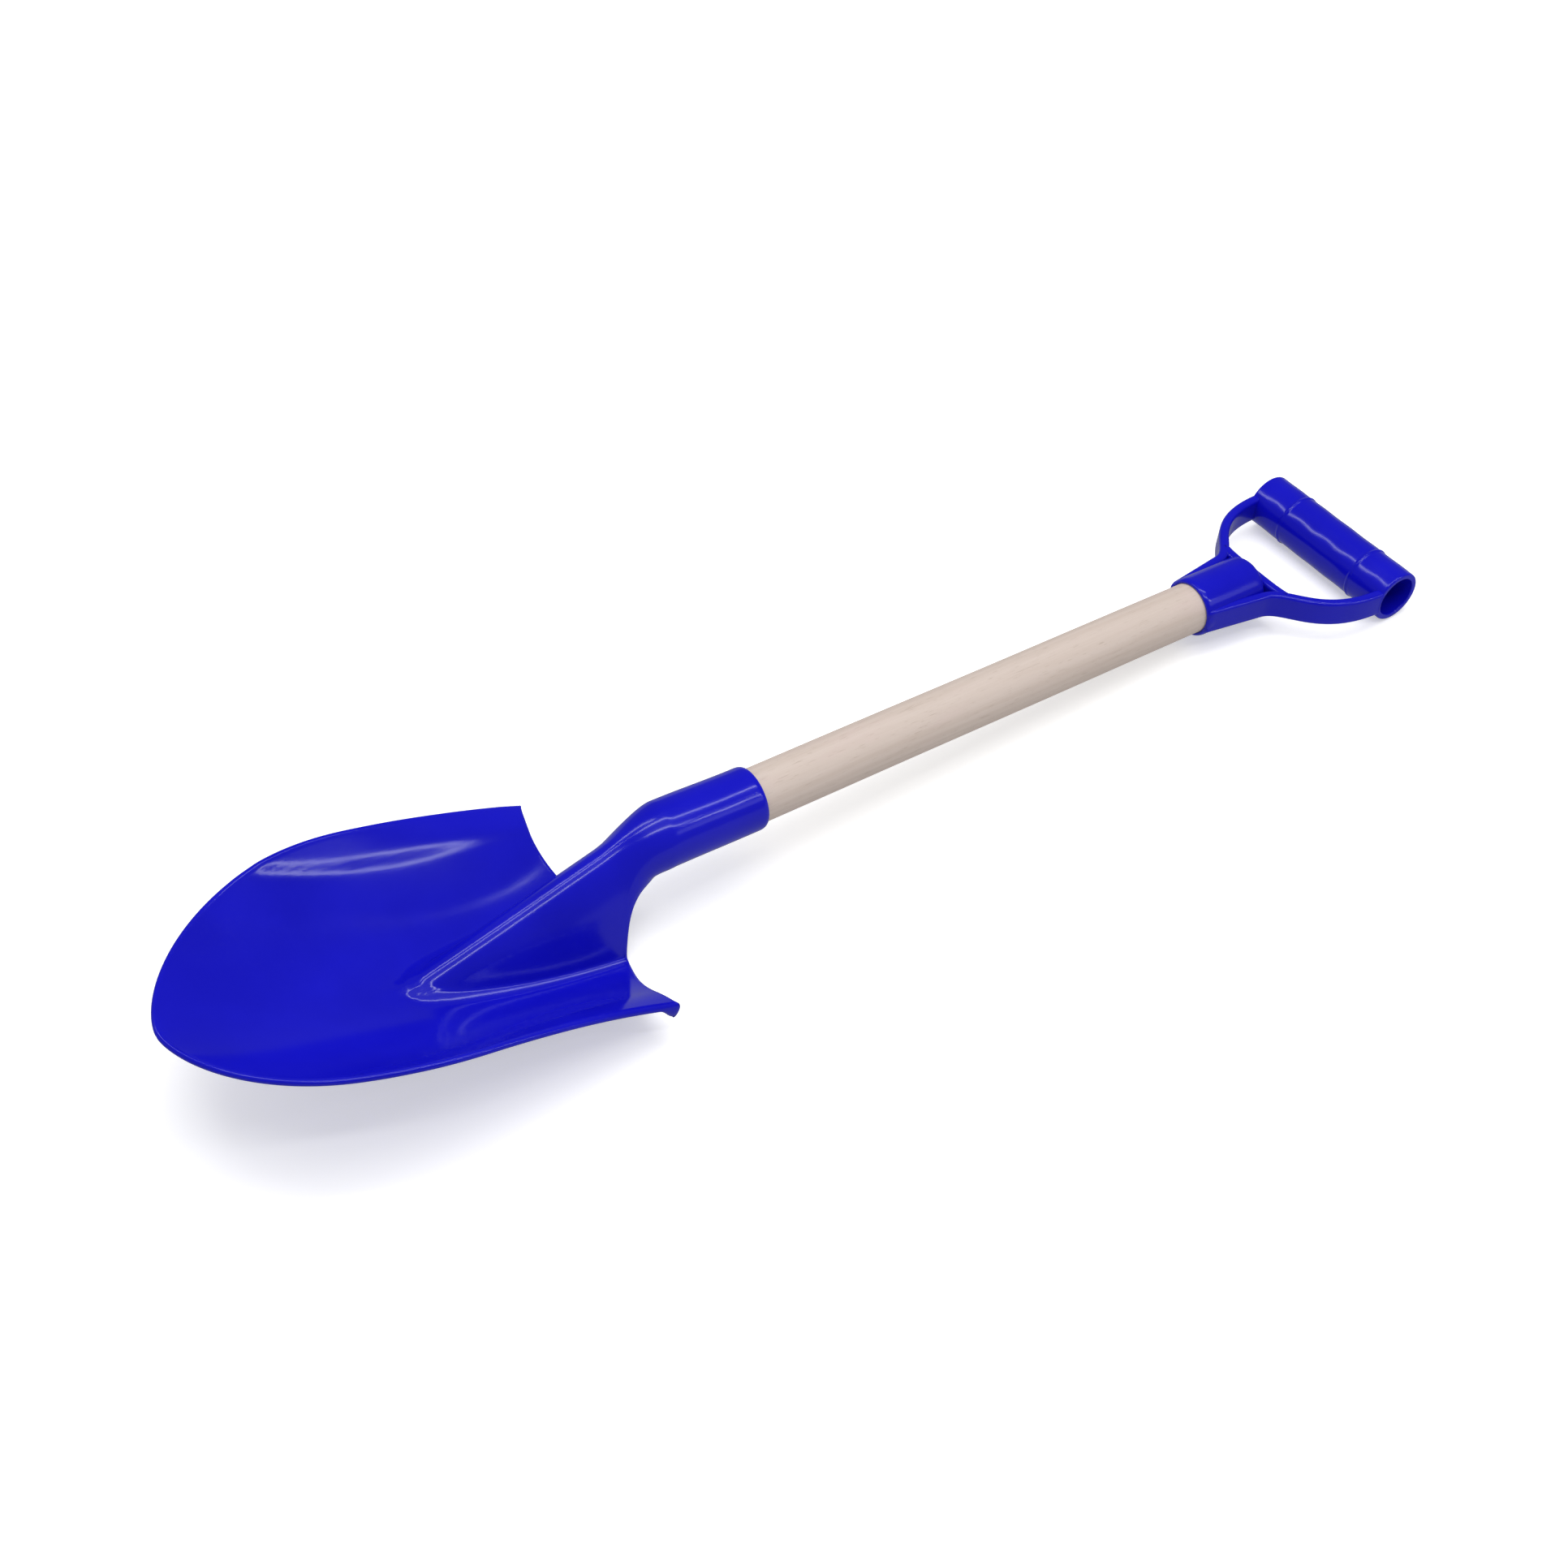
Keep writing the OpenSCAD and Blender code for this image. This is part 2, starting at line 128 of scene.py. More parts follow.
@dataclass(frozen=True)
class Shaft:
    """The shaft frame's place in the frame of the solids."""

    bar_x: float = 297.95
    bar_at: Triple = (0.0, 0.0, 0.0)
    along: Triple = (1.0, 0.0, 0.0)

    @classmethod
    def of_record(cls, record: dict[str, Any]) -> "Shaft":
        """Returns the shaft frame that the record's two mounts give.

        Args:
            record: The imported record, with the crossbar's bore and the dowel's clip zone.

        Returns:
            The shaft frame.
        """
        mounts = {m["name"]: m for m in record["mounts"]}
        return cls(
            bar_at=tuple(mounts["crossbar_bore"]["pos_m"]),
            along=tuple(mounts["dowel_clip_zone"]["axis"]),
        )

    def place(self, points: Array) -> Array:
        """Moves points out of the shaft frame.

        Args:
            points: Points of the shaft frame, in millimetres.

        Returns:
            The same points in the solids' frame, in metres.
        """
        ax = np.array(self.along)
        ax = ax / np.linalg.norm(ax)
        up = np.array([-ax[2], 0.0, ax[0]])
        turn = np.stack([ax, [0.0, 1.0, 0.0], up])
        return np.array(self.bar_at) + ((points - [self.bar_x, 0, 0]) @ turn) * MM

    @property
    def tilt(self) -> float:
        """Angle by which the dowel slopes down toward the grip, in radians."""
        return math.atan2(-self.along[2], self.along[0])


class Patchwork:
    """Joins grids of points edge to edge into one closed mesh."""

    weld_per_mm: float = 2e4

    def __init__(self) -> None:
        """Starts with no grids."""
        self.points: list[Array] = []
        self.faces: list[Array] = []
        self.count = 0

    def add(self, grid: Array, flip: bool = False) -> "Patchwork":
        """Adds a grid of points, with one quad for each of its cells.

        Args:
            grid: Points of shape (rows, columns, 3), in millimetres.
            flip: Turns the faces over.

        Returns:
            The patchwork itself.
        """
        n, m = grid.shape[:2]
        at = np.arange(n * m).reshape(n, m) + self.count
        quad = np.stack([at[:-1, :-1], at[:-1, 1:], at[1:, 1:], at[1:, :-1]], axis=-1)
        self.points.append(grid.reshape(-1, 3))
        self.faces.append((quad[..., ::-1] if flip else quad).reshape(-1, 4))
        self.count += n * m
        return self

    def build(self, name: str, shaft: Shaft) -> bpy.types.Object:
        """Welds the grids along their shared edges and makes a mesh object of them.

        Points at one place become one vertex, and a quad with two corners there becomes a
        triangle, which closes poles and seams.

        Args:
            name: The object's name.
            shaft: Puts the points into the solids' frame.

        Returns:
            The object, smooth-shaded, with its faces outward.
        """
        points = np.concatenate(self.points)
        keys = np.round(points * self.weld_per_mm).astype(np.int64)
        _, first, index = np.unique(keys, axis=0, return_index=True, return_inverse=True)
        faces = index.reshape(-1)[np.concatenate(self.faces)]
        same = faces == np.roll(faces, -1, axis=1)
        quads = faces[same.sum(axis=1) == 0]
        folded = faces[same.sum(axis=1) == 1]
        keep = ~same[same.sum(axis=1) == 1]
        tris = folded[keep].reshape(-1, 3)
        mesh = bpy.data.meshes.new(name)
        mesh.vertices.add(len(first))
        mesh.vertices.foreach_set("co", shaft.place(points[first]).astype(np.float32).ravel())
        corners = np.concatenate([quads.ravel(), tris.ravel()])
        sizes = np.concatenate([np.full(len(quads), 4), np.full(len(tris), 3)])
        mesh.loops.add(len(corners))
        mesh.loops.foreach_set("vertex_index", corners.astype(np.int32))
        mesh.polygons.add(len(sizes))
        starts = np.concatenate([[0], np.cumsum(sizes)[:-1]])
        mesh.polygons.foreach_set("loop_start", starts.astype(np.int32))
        mesh.polygons.foreach_set("use_smooth", np.ones(len(sizes), dtype=bool))
        mesh.update(calc_edges=True)
        mesh.validate()
        work = bmesh.new()
        work.from_mesh(mesh)
        bmesh.ops.recalc_face_normals(work, faces=work.faces)
        work.to_mesh(mesh)
        work.free()
        piece = bpy.data.objects.new(name, mesh)
        bpy.context.scene.collection.objects.link(piece)
        return piece


def turned(profile: Array, start: Array, way: Array, side: Array, columns: int) -> Array:
    """Carries a profile once round an axis.

    Each profile point (along, radius) becomes start + along * way + radius * (cos a * side +
    sin a * third), with a running once round over the columns.

    Args:
        profile: Points (along, radius), shape (rows, 2).
        start: A point of the axis.
        way: The axis's direction.
        side: Direction across the axis at which the turn starts.
        columns: Steps round the axis.

    Returns:
        The surface as a grid of shape (rows, columns + 1, 3).
    """
    a = round_turn(columns)
    third = np.cross(way, side)
    spoke = np.cos(a)[:, None] * side + np.sin(a)[:, None] * third
    return start + profile[:, None, :1] * way + profile[:, None, 1:] * spoke


def rounded_bar(t: float, h: float, r: float, corner: int = 7, side: int = 4) -> Array:
    """Draws a bar's section as two pairs of straight sides joined by quarter circles.

    Args:
        t: Thickness across.
        h: Height.
        r: Rounding of the four corners.
        corner: Steps round each corner.
        side: Steps along each straight side.

    Returns:
        The closed outline, as points (across, up).
    """
    parts = []
    for quarter, (sx, sy) in enumerate(((1, 1), (-1, 1), (-1, -1), (1, -1))):
        cx, cy = sx * (t / 2 - r), sy * (h / 2 - r)
        parts.append(arc(cx, cy, r, r, 90 * quarter, 90 * quarter + 90, corner))
    loop = []
    for i, part in enumerate(parts):
        after = parts[(i + 1) % 4][0]
        loop += [part, line(*part[-1], *after, side)[1:-1]]
    loop.append(parts[0][:1])
    return np.concatenate(loop)


def carried(path: Array, section: Array, grow: Array) -> Array:
    """Carries a section along a path in the plane of the shaft and the crossbar.

    The formula is path + grow * (across * side + up * z), where side is the path's direction
    turned by a right angle. Each end is closed by a row at its own middle.

    Args:
        path: Points (x, y), shape (rows, 2).
        section: Outline points (across, up), shape (columns, 2).
        grow: Size of the section at each row, as a factor.

    Returns:
        The closed surface as a grid of shape (rows + 2, columns, 3).
    """
    way = unit(np.gradient(path, axis=0))
    side = np.stack([way[:, 1], -way[:, 0]], axis=-1)
    across = grow[:, None] * section[None, :, 0]
    flat = path[:, None, :] + across[..., None] * side[:, None, :]
    up = grow[:, None] * section[None, :, 1]
    grid = np.concatenate([flat, up[..., None]], axis=-1)
    grid = np.concatenate([grid[:1], grid, grid[-1:]])
    grid[0] = grid[1].mean(axis=0)
    grid[-1] = grid[-2].mean(axis=0)
    return grid


# Shader building


class Value:
    """A shader socket that can stand in sums, products and powers with plain numbers."""

    def __init__(self, shader: "Shader", socket: bpy.types.NodeSocket) -> None:
        """Wraps a socket of a shader's node."""
        self.shader = shader
        self.socket = socket

    def _maths(self, operation: str, *parts: Any) -> "Value":
        """Adds a Math node of the operation over the parts and returns its result."""
        made = self.shader.node("ShaderNodeMath", {"operation": operation}, dict(enumerate(parts)))
        return Value(self.shader, made.outputs[0])

    def __add__(self, other: Any) -> "Value":
        """Returns self + other."""
        return self._maths("ADD", self, other)

    def __radd__(self, other: Any) -> "Value":
        """Returns other + self."""
        return self._maths("ADD", other, self)

    def __sub__(self, other: Any) -> "Value":
        """Returns self - other."""
        return self._maths("SUBTRACT", self, other)

    def __rsub__(self, other: Any) -> "Value":
        """Returns other - self."""
        return self._maths("SUBTRACT", other, self)

    def __mul__(self, other: Any) -> "Value":
        """Returns self * other."""
        return self._maths("MULTIPLY", self, other)

    def __rmul__(self, other: Any) -> "Value":
        """Returns other * self."""
        return self._maths("MULTIPLY", other, self)

    def __pow__(self, other: Any) -> "Value":
        """Returns self to the power of other."""
        return self._maths("POWER", self, other)

    def __rpow__(self, other: Any) -> "Value":
        """Returns other to the power of self."""
        return self._maths("POWER", other, self)

    def held(self) -> "Value":
        """Returns the value held between 0 and 1."""
        made = self.shader.node("ShaderNodeClamp", {}, {"Value": self})
        return Value(self.shader, made.outputs[0])

    def sine(self) -> "Value":
        """Returns the sine of the value."""
        return self._maths("SINE", self)

    def above(self, low: float, high: float) -> "Value":
        """Makes a smooth step of the value.

        Args:
            low: The value up to which the step is 0.
            high: The value from which it is 1.

        Returns:
            The step.
        """
        made = self.shader.node(
            "ShaderNodeMapRange",
            {"interpolation_type": "SMOOTHSTEP"},
            {"Value": self, "From Min": low, "From Max": high},
        )
        return Value(self.shader, made.outputs[0])


class Shader:
    """One node material with a Principled surface."""

    def __init__(self, name: str) -> None:
        """Makes an empty node material.

        Args:
            name: The material's name.
        """
        self.material = bpy.data.materials.new(name)
        self.material.use_nodes = True
        self.tree = self.material.node_tree
        self.tree.nodes.clear()
        self.output = self.node("ShaderNodeOutputMaterial")
        self.surface = self.node("ShaderNodeBsdfPrincipled")
        self.link(self.surface.outputs[0], self.output.inputs["Surface"])

    def link(self, source: bpy.types.NodeSocket, target: bpy.types.NodeSocket) -> None:
        """Joins two sockets."""
        self.tree.links.new(source, target)

    def node(
        self,
        kind: str,
        settings: dict[str, Any] | None = None,
        sockets: dict[Any, Any] | None = None,
    ) -> bpy.types.Node:
        """Adds a node.

        Args:
            kind: The node's type.
            settings: Properties that are set first.
            sockets: Input sockets by name or number, each a value, a Value or a socket.

        Returns:
            The node.
        """
        made = self.tree.nodes.new(kind)
        for key, value in (settings or {}).items():
            setattr(made, key, value)
        for key, value in (sockets or {}).items():
            self.feed(made.inputs[key], value)
        return made

    def feed(self, target: bpy.types.NodeSocket, value: Any) -> None:
        """Links something to a socket, or sets the socket's own value.

        Args:
            target: The input socket.
            value: A Value or a socket, which is linked, or else a plain value.
        """
        if isinstance(value, Value):
            self.link(value.socket, target)
        elif isinstance(value, bpy.types.NodeSocket):
            self.link(value, target)
        else:
            target.default_value = value

    def set(self, **sockets: Any) -> None:
        """Feeds sockets of the Principled node.

        Args:
            **sockets: Values by socket name, in which an underscore stands for a space.
        """
        for key, value in sockets.items():
            if isinstance(value, tuple) and len(value) == 3 and "Color" in key:
                value = (*value, 1.0)
            self.feed(self.surface.inputs[key.replace("_", " ")], value)

    def place(self, turn: Triple = (0.0, 0.0, 0.0), scale: Any = 1.0) -> bpy.types.NodeSocket:
        """Makes object coordinates, turned and then scaled.

        Args:
            turn: Rotation about the three axes, in radians.
            scale: One number or three.

        Returns:
            The coordinates.
        """
        sizes = scale if isinstance(scale, tuple) else (scale, scale, scale)
        coords = self.node("ShaderNodeTexCoord").outputs["Object"]
        for settings in ({"Rotation": turn}, {"Scale": sizes}):
            made = self.node("ShaderNodeMapping", {}, {"Vector": coords, **settings})
            coords = made.outputs[0]
        return coords

    def noise(
        self, place: bpy.types.NodeSocket, scale: float, detail: float = 2.0, rough: float = 0.5
    ) -> Value:
        """Makes a noise field from 0 to 1.

        Args:
            place: Coordinates.
            scale: Features for each unit of the coordinates.
            detail: Octaves.
            rough: Share of the finer octaves.

        Returns:
            The field.
        """
        made = self.node(
            "ShaderNodeTexNoise",
            {},
            {"Vector": place, "Scale": scale, "Detail": detail, "Roughness": rough},
        )
        return Value(self, made.outputs["Fac"])

    def tint(self, share: Any, low: Any, high: Triple) -> bpy.types.NodeSocket:
        """Blends two colours.

        Args:
            share: The second colour's share, from 0 to 1.
            low: Colour at 0, plain or as a socket.
            high: Colour at 1.

        Returns:
            The blend.
        """
        start = (*low, 1.0) if isinstance(low, tuple) else low
        made = self.node(
            "ShaderNodeMix", {"data_type": "RGBA"}, {0: share, 6: start, 7: (*high, 1.0)}
        )
        return made.outputs[2]

    def bump(self, height: Value, distance: float, normal: Any = None) -> bpy.types.NodeSocket:
        """Raises the surface normal by a height field.

        Args:
            height: Field from 0 to 1.
            distance: Height at 1, in metres.
            normal: A normal that is raised further.

        Returns:
            The new normal.
        """
        sockets = {"Height": height, "Distance": distance, "Strength": 1.0}
        if normal is not None:
            sockets["Normal"] = normal
        return self.node("ShaderNodeBump", {}, sockets).outputs[0]


# Finishes


class Slot(Enum):
    """Material slots of the record."""

    PLASTIC = "blue_plastic"
    WOOD = "bare_wood"
    STEEL = "screw_steel"


@dataclass(frozen=True)
class GlossPlastic:
    """Smooth moulded plastic with faint flow clouds, a fine skin and hairline scuffs."""

    name: str = "blue_gloss_plastic"
    deep: Triple = (0.0035, 0.0035, 0.44)
    bright: Triple = (0.0050, 0.0050, 0.50)
    roughness: float = 0.12
    cloud_per_m: float = 26.0
    cloud_rough: float = 0.05
    skin_per_m: float = 1500.0
    skin_height: float = 0.000004
    wave_per_m: float = 95.0
    wave_height: float = 0.00003
    scuff_turn: float = 0.5
    scuff_scale: Triple = (60.0, 900.0, 900.0)
    scuff_sharp: float = 60.0
    scuff_patch_per_m: float = 40.0
    scuff_rough: float = 0.12

    def make(self) -> bpy.types.Material:
        """Makes the material.

        Colour is a soft cloud between the two blues. Roughness is the clouds plus thin
        scratches, which are the narrow bands of a stretched noise near its middle value.

        Returns:
            The material.
        """
        s = Shader(self.name)
        place = s.place()
        clouds = s.noise(place, self.cloud_per_m, 3.0)
        skin = s.noise(place, self.skin_per_m, 2.0)
        wave = s.noise(place, self.wave_per_m, 1.0)
        lanes = s.noise(s.place((0.0, 0.0, self.scuff_turn), self.scuff_scale), 1.0, 2.0)
        off = (lanes - 0.5) * self.scuff_sharp
        patches = s.noise(place, self.scuff_patch_per_m, 1.0).above(0.55, 0.7)
        scratch = (1.0 - off * off).held() * patches
        s.set(
            Base_Color=s.tint(clouds.above(0.3, 0.7), self.deep, self.bright),
            Roughness=self.roughness + clouds * self.cloud_rough + scratch * self.scuff_rough,
            IOR=1.5,
            Normal=s.bump(skin, self.skin_height, s.bump(wave, self.wave_height)),
        )
        return s.material


@dataclass(frozen=True)
class BareWood:
    """Sanded pale hardwood: straight fibres, short pores and faint growth bands."""

    name: str = "bare_dowel_wood"
    pale: Triple = (0.625, 0.535, 0.485)
    dark: Triple = (0.535, 0.440, 0.380)
    pore: Triple = (0.40, 0.31, 0.25)
    blush: Triple = (0.61, 0.49, 0.46)
    tilt: float = 0.0
    heart_y: float = 0.021
    heart_z: float = -0.012
    bands_per_m: float = 2900.0
    band_drift: float = 9.0
    slow_scale: Triple = (9.0, 60.0, 60.0)
    fibre_scale: Triple = (30.0, 1500.0, 1500.0)
    pore_scale: Triple = (190.0, 3400.0, 3400.0)
    cloud_scale: Triple = (22.0, 90.0, 90.0)
    band_share: float = 0.16
    fibre_share: float = 0.5
    slow_share: float = 0.4
    pore_share: float = 0.5
    blush_share: float = 0.5
    roughness: float = 0.62
    grain_height: float = 0.00005

    def make(self) -> bpy.types.Material:
        """Makes the material.

        Growth bands are the sine of the distance from a line beside the dowel, disturbed by a
        slow noise. Fibres and pores are noises stretched along the dowel.

        Returns:
            The material.
        """
        s = Shader(self.name)
        turn = (0.0, -self.tilt, 0.0)
        along = s.place(turn)
        split = s.node("ShaderNodeSeparateXYZ", {}, {"Vector": along})
        y = Value(s, split.outputs[1]) - self.heart_y
        z = Value(s, split.outputs[2]) - self.heart_z
        slow = s.noise(s.place(turn, self.slow_scale), 1.0, 2.0)
        away = (y * y + z * z) ** 0.5
        bands = (away * self.bands_per_m + slow * self.band_drift).sine() * 0.5 + 0.5
        fibre = s.noise(s.place(turn, self.fibre_scale), 1.0, 4.0, 0.65)
        pores = s.noise(s.place(turn, self.pore_scale), 1.0, 1.0).above(0.66, 0.76)
        cloud = s.noise(s.place(turn, self.cloud_scale), 1.0, 3.0).above(0.5, 0.75)
        tone = bands * self.band_share + fibre * self.fibre_share + slow * self.slow_share
        wood = s.tint(tone.above(0.1, 0.95), self.dark, self.pale)
        warm = s.tint(cloud * self.blush_share, wood, self.blush)
        s.set(
            Base_Color=s.tint(pores * self.pore_share, warm, self.pore),
            Roughness=self.roughness - fibre * 0.12 + pores * 0.1,
            IOR=1.45,
            Normal=s.bump(fibre - pores * 0.8, self.grain_height),
        )
        return s.material


@dataclass(frozen=True)
class ZincSteel:
    """Bright zinc on steel, lightly brushed round by its driver."""

    name: str = "zinc_steel"
    colour: Triple = (0.60, 0.60, 0.59)
    shade: Triple = (0.50, 0.50, 0.50)
    roughness: float = 0.24
    grain_per_m: float = 2500.0
    grain_rough: float = 0.2
    grain_height: float = 0.000006

    def make(self) -> bpy.types.Material:
        """Makes the material, whose colour, roughness and skin follow one fine noise.

        Returns:
            The material.
        """
        s = Shader(self.name)
        grain = s.noise(s.place(), self.grain_per_m, 2.0)
        s.set(
            Base_Color=s.tint(grain, self.shade, self.colour),
            Metallic=1.0,
            Roughness=self.roughness + grain * self.grain_rough,
            Normal=s.bump(grain, self.grain_height),
        )
        return s.material


def dress(
    piece: bpy.types.Object, material: bpy.types.Material, slot: Slot, *nodes: str
) -> None:
    """Gives a piece its finish and its place among the solids.

    Args:
        piece: The piece.
        material: Its finish.
        slot: The record's slot that the finish stands for; not used.
        *nodes: Solids that it replaces.
    """
    piece.data.materials.clear()
    piece.data.materials.append(material)
    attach(piece, "root")
    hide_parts(*nodes)
    log.info("%s: %d faces, %s", piece.name, len(piece.data.polygons), material.name)


# The blade


@dataclass(frozen=True)
class Blade:
    """The moulded blade: dish, frog, neck and socket as one skin of even thickness.

    The upper face is a height z(x, y) over the dish: floor + (rim - floor) * section, with the
    frog's ridge joined on by a soft maximum. Round the neck each row of points bends over onto
    a circle, which closes into the socket. The methods take places x and y of the shaft frame.
    """

    # The dish
    blade_len: float = 161.8
    blade_w: float = 112.0
    shoulder_w: float = 114.0
    nose_len: float = 90.0
    nose_power: float = 2.2
    nose_root: float = 1.6
    rim_level_len: float = 48.0
    rim_power: float = 1.72
    nose_lift: float = 10.1
    corner_drop: float = 19.6
    floor_drop: float = 33.8
    floor_power: float = 1.8
    flare_share: float = 0.6
    flare_power: float = 1.7
    back_bow: float = 3.6
    corner_round: float = 2.5
    wall: float = 2.4
    # The frog, the neck and the socket
    frog_len: float = 80.8
    crest_back: float = 4.8
    crest_power: float = 1.09
    crest_r_front: float = 5.5
    crest_r_back: float = 5.0
    foot_half: float = 19.4
    frog_fillet: float = 3.0
    neck_len: float = 62.2
    neck_half: float = 12.6
    edge_sweep: float = 4.5
    neck_swell: float = 0.5
    neck_lift: float = 1.0
    crest_bend: float = 5.7
    bore_r: float = 10.65
    socket_wall: float = 1.75
    bore_len: float = 32.0
    lip_len: float = 2.4
    lip_drop: float = 1.1
    mouth_x: float = 2.0
    mouth_round: float = 0.3
    end_round: float = 1.0
    end_dome: float = 1.3
    # The low roll along each side wall
    roll_y: float = 44.8
    roll_rise: float = 5.2
    roll_bend_x: float = 38.0
    roll_bend_len: float = 60.0
    roll_h: float = 0.65
    roll_w: float = 5.5
    roll_fade: float = 11.0
    roll_start: float = 52.0
    roll_start_len: float = 7.0
    roll_near: float = 0.25
    # The soft apron round the frog's foot, and the thick tabs at the back corners
    apron_w: float = 3.0
    apron_rise: float = 0.6
    apron_soft: float = 0.7
    apron_start: float = 0.12
    apron_taper: float = 0.45
    apron_full: float = 1.2
    apron_fillet: float = 1.0
    tab_reach: float = 9.0
    tab_h: float = 3.4
    tab_steep: float = 1.25
    # The grid: steps across, rows in the nose, sides, back, neck and socket, and their bows
    across: int = 168
    counts: tuple[int, int, int, int, int] = (60, 48, 44, 46, 22)
    tip_turn: float = 12.0
    bow_walls: float = 8.0
    bow_growth: tuple[float, float] = (13, 9)
    edge_reach: float = 5.0
    # How the rows and points crowd: the powers of their steps and the shares they stay within
    crowd_side: float = 1.7
    crowd_corner: float = 1.6
    crowd_even: float = 0.4
    crowd_neck: float = 1.3
    crowd_foot: float = 1.4
    hollow_power: float = 1.25
    foot_share_min: float = 0.15
    foot_share_max: float = 0.8
    # The arch round the neck, in degrees a side, and the open seam under it
    arch_open: float = 95.0
    arch_closed: float = 180.0
    arch_power: float = 0.7
    seam_half: float = 3.0

    @property
    def x_back(self) -> float:
        """Place of the back edge's corners and of its foot beside the frog."""
        return -self.neck_len

    @property
    def x_tip(self) -> float:
        """Place of the tip."""
        return self.x_back - self.blade_len

    @property
    def x_wide(self) -> float:
        """Place of the greatest width."""
        return self.x_tip + self.nose_len

    @property
    def x_frog(self) -> float:
        """Place at which the frog's crest leaves the floor."""
        return self.x_back - self.frog_len

    @property
    def x_join(self) -> float:
        """Place at which the neck has closed into a tube."""
        return -self.bore_len - 2 * self.wall

    def floor_z(self, x: Array) -> Array:
        """Returns the floor's height: it rises with floor_power of the way to the tip."""
        share = clip01((self.x_back - x) / self.blade_len)
        return mix(-self.floor_drop, self.nose_lift, share**self.floor_power)

    def rim_z(self, x: Array) -> Array:
        """Works out the rim's height: level at the nose, then sinking with rim_power.

        Args:
            x: Places along the shaft.

        Returns:
            The heights.
        """
        level = self.x_tip + self.rim_level_len
        share = clip01((x - level) / (self.x_back - level))
        return mix(self.nose_lift, -self.corner_drop, share**self.rim_power)

    def rim_half(self, x: Array) -> Array:
        """Works out half the width: a superellipse at the nose and a parabola behind it.

        Args:
            x: Places along the shaft.

        Returns:
            Half the blade's width there.
        """
        ahead = clip01((self.x_wide - x) / self.nose_len)
        nose = self.blade_w / 2 * (1 - ahead**self.nose_power) ** (1 / self.nose_root)
        share = clip01((x - self.x_wide) / (self.x_back - self.x_wide))
        side = mix(self.blade_w, self.shoulder_w, share**2) / 2
        return np.where(x < self.x_wide, nose, side)

    def dish_z(self, x: Array, y: Array) -> Array:
        """Works out the dish's height.

        The section is a parabola t^2 at the nose, and turns into a flared wall toward the
        back edge, sin^2 of a quarter turn times t to flare_power. It goes on past the rim, so
        that normals at the rim are smooth.

        Args:
            x: Places along the shaft.
            y: Places across it.

        Returns:
            The heights.
        """
        half = np.maximum(self.rim_half(x), self.wall / 10)
        t = np.minimum(np.abs(y) / half, 1.5)
        flare = 1 - ease((self.x_back - x) / self.blade_len / self.flare_share)
        section = mix(t**2, np.sin(math.pi / 2 * t**self.flare_power) ** 2, flare)
        return mix(self.floor_z(x), self.rim_z(x), section) + self.wall_roll(x, y)

    def wall_roll(self, x: Array, y: Array) -> Array:
        """Works out the low roll along each side wall, inside its rim.

        It is a smooth step of the height roll_h, which dies away on both sides, from a blunt
        start behind the nose to the back edge. Its line bends outward toward the nose with the
        second power. On the right wall only the share roll_near of it stands.

        Args:
            x: Places along the shaft.
            y: Places across it.

        Returns:
            The roll's heights, up or down from the wall.
        """
        ahead = clip01((self.x_frog + self.roll_bend_x - x) / self.roll_bend_len)
        d = np.abs(y) - self.roll_y - self.roll_rise * ahead**2
        step = ease(d / self.roll_w + 0.5) - 0.5
        high = self.roll_h * np.where(y < 0, self.roll_near, 1.0)
        begun = ease((x - self.x_tip - self.roll_start) / self.roll_start_len)
        return high * step * hump(d, self.roll_fade) * begun

    def swell(self, x: Array) -> Array:
        """Returns the share of the neck's swell, which fades out toward the socket's mouth."""
        return 1 - ease((x - self.x_join) / -self.x_join)

    def socket_r(self, x: Array) -> Array:
        """Returns the socket's outer radius."""
        return self.bore_r + self.socket_wall + self.neck_swell / 2 * self.swell(x)

    def socket_z(self, x: Array) -> Array:
        """Returns the height of the socket's middle."""
        return self.neck_lift * self.swell(x)

    def crest_z(self, x: Array) -> Array:
        """Works out the crest's height: a ramp, as crest_power, bent into the socket's top.

        Args:
            x: Places along the shaft.

        Returns:
            The heights.
        """
        foot = self.floor_z(np.array(self.x_frog))
        way = np.maximum((x - self.x_frog) / self.frog_len, 0)
        ramp = mix(foot, self.crest_back, way**self.crest_power)
        return soft_min(ramp, self.socket_r(x) + self.socket_z(x), self.crest_bend)

    def crest_r(self, x: Array) -> Array:
        """Returns the crest's radius."""
        return mix(self.crest_r_front, self.crest_r_back, clip01((x - self.x_frog) / self.frog_len))

    def foot_y(self, x: Array) -> Array:
        """Returns how far from the middle the frog's parabola sinks to the floor's height."""
        rise = np.maximum(self.crest_z(x) - self.floor_z(x), 0)
        return np.sqrt(2 * self.crest_r(x) * rise)

    def top_z(self, x: Array, y: Array) -> Array:
        """Works out the upper face's height.

        The frog is a parabola round its crest, crest_z - y^2 / (2 crest_r). The apron is the
        dish raised by apron_rise for each millimetre inside a line that runs round the frog's
        foot, up to apron_w. Soft maximums join dish, apron and frog.

        Args:
            x: Places along the shaft.
            y: Places across it.

        Returns:
            The heights.
        """
        dish = self.dish_z(x, y)
        frog = self.crest_z(x) - y * y / (2 * self.crest_r(x))
        way = clip01((x - self.x_frog) / self.frog_len)
        reach = self.apron_w * ease(way / self.apron_start) * (1 - self.apron_taper * way)
        inside = self.foot_y(x) + reach - np.abs(y)
        apron = dish + np.minimum(self.apron_rise * inside, self.apron_w)
        started = ease(reach / self.apron_full)
        low = mix(dish, soft_max(dish, apron, self.apron_soft), started)
        return soft_max(low, frog, mix(self.frog_fillet, self.apron_fillet, started))

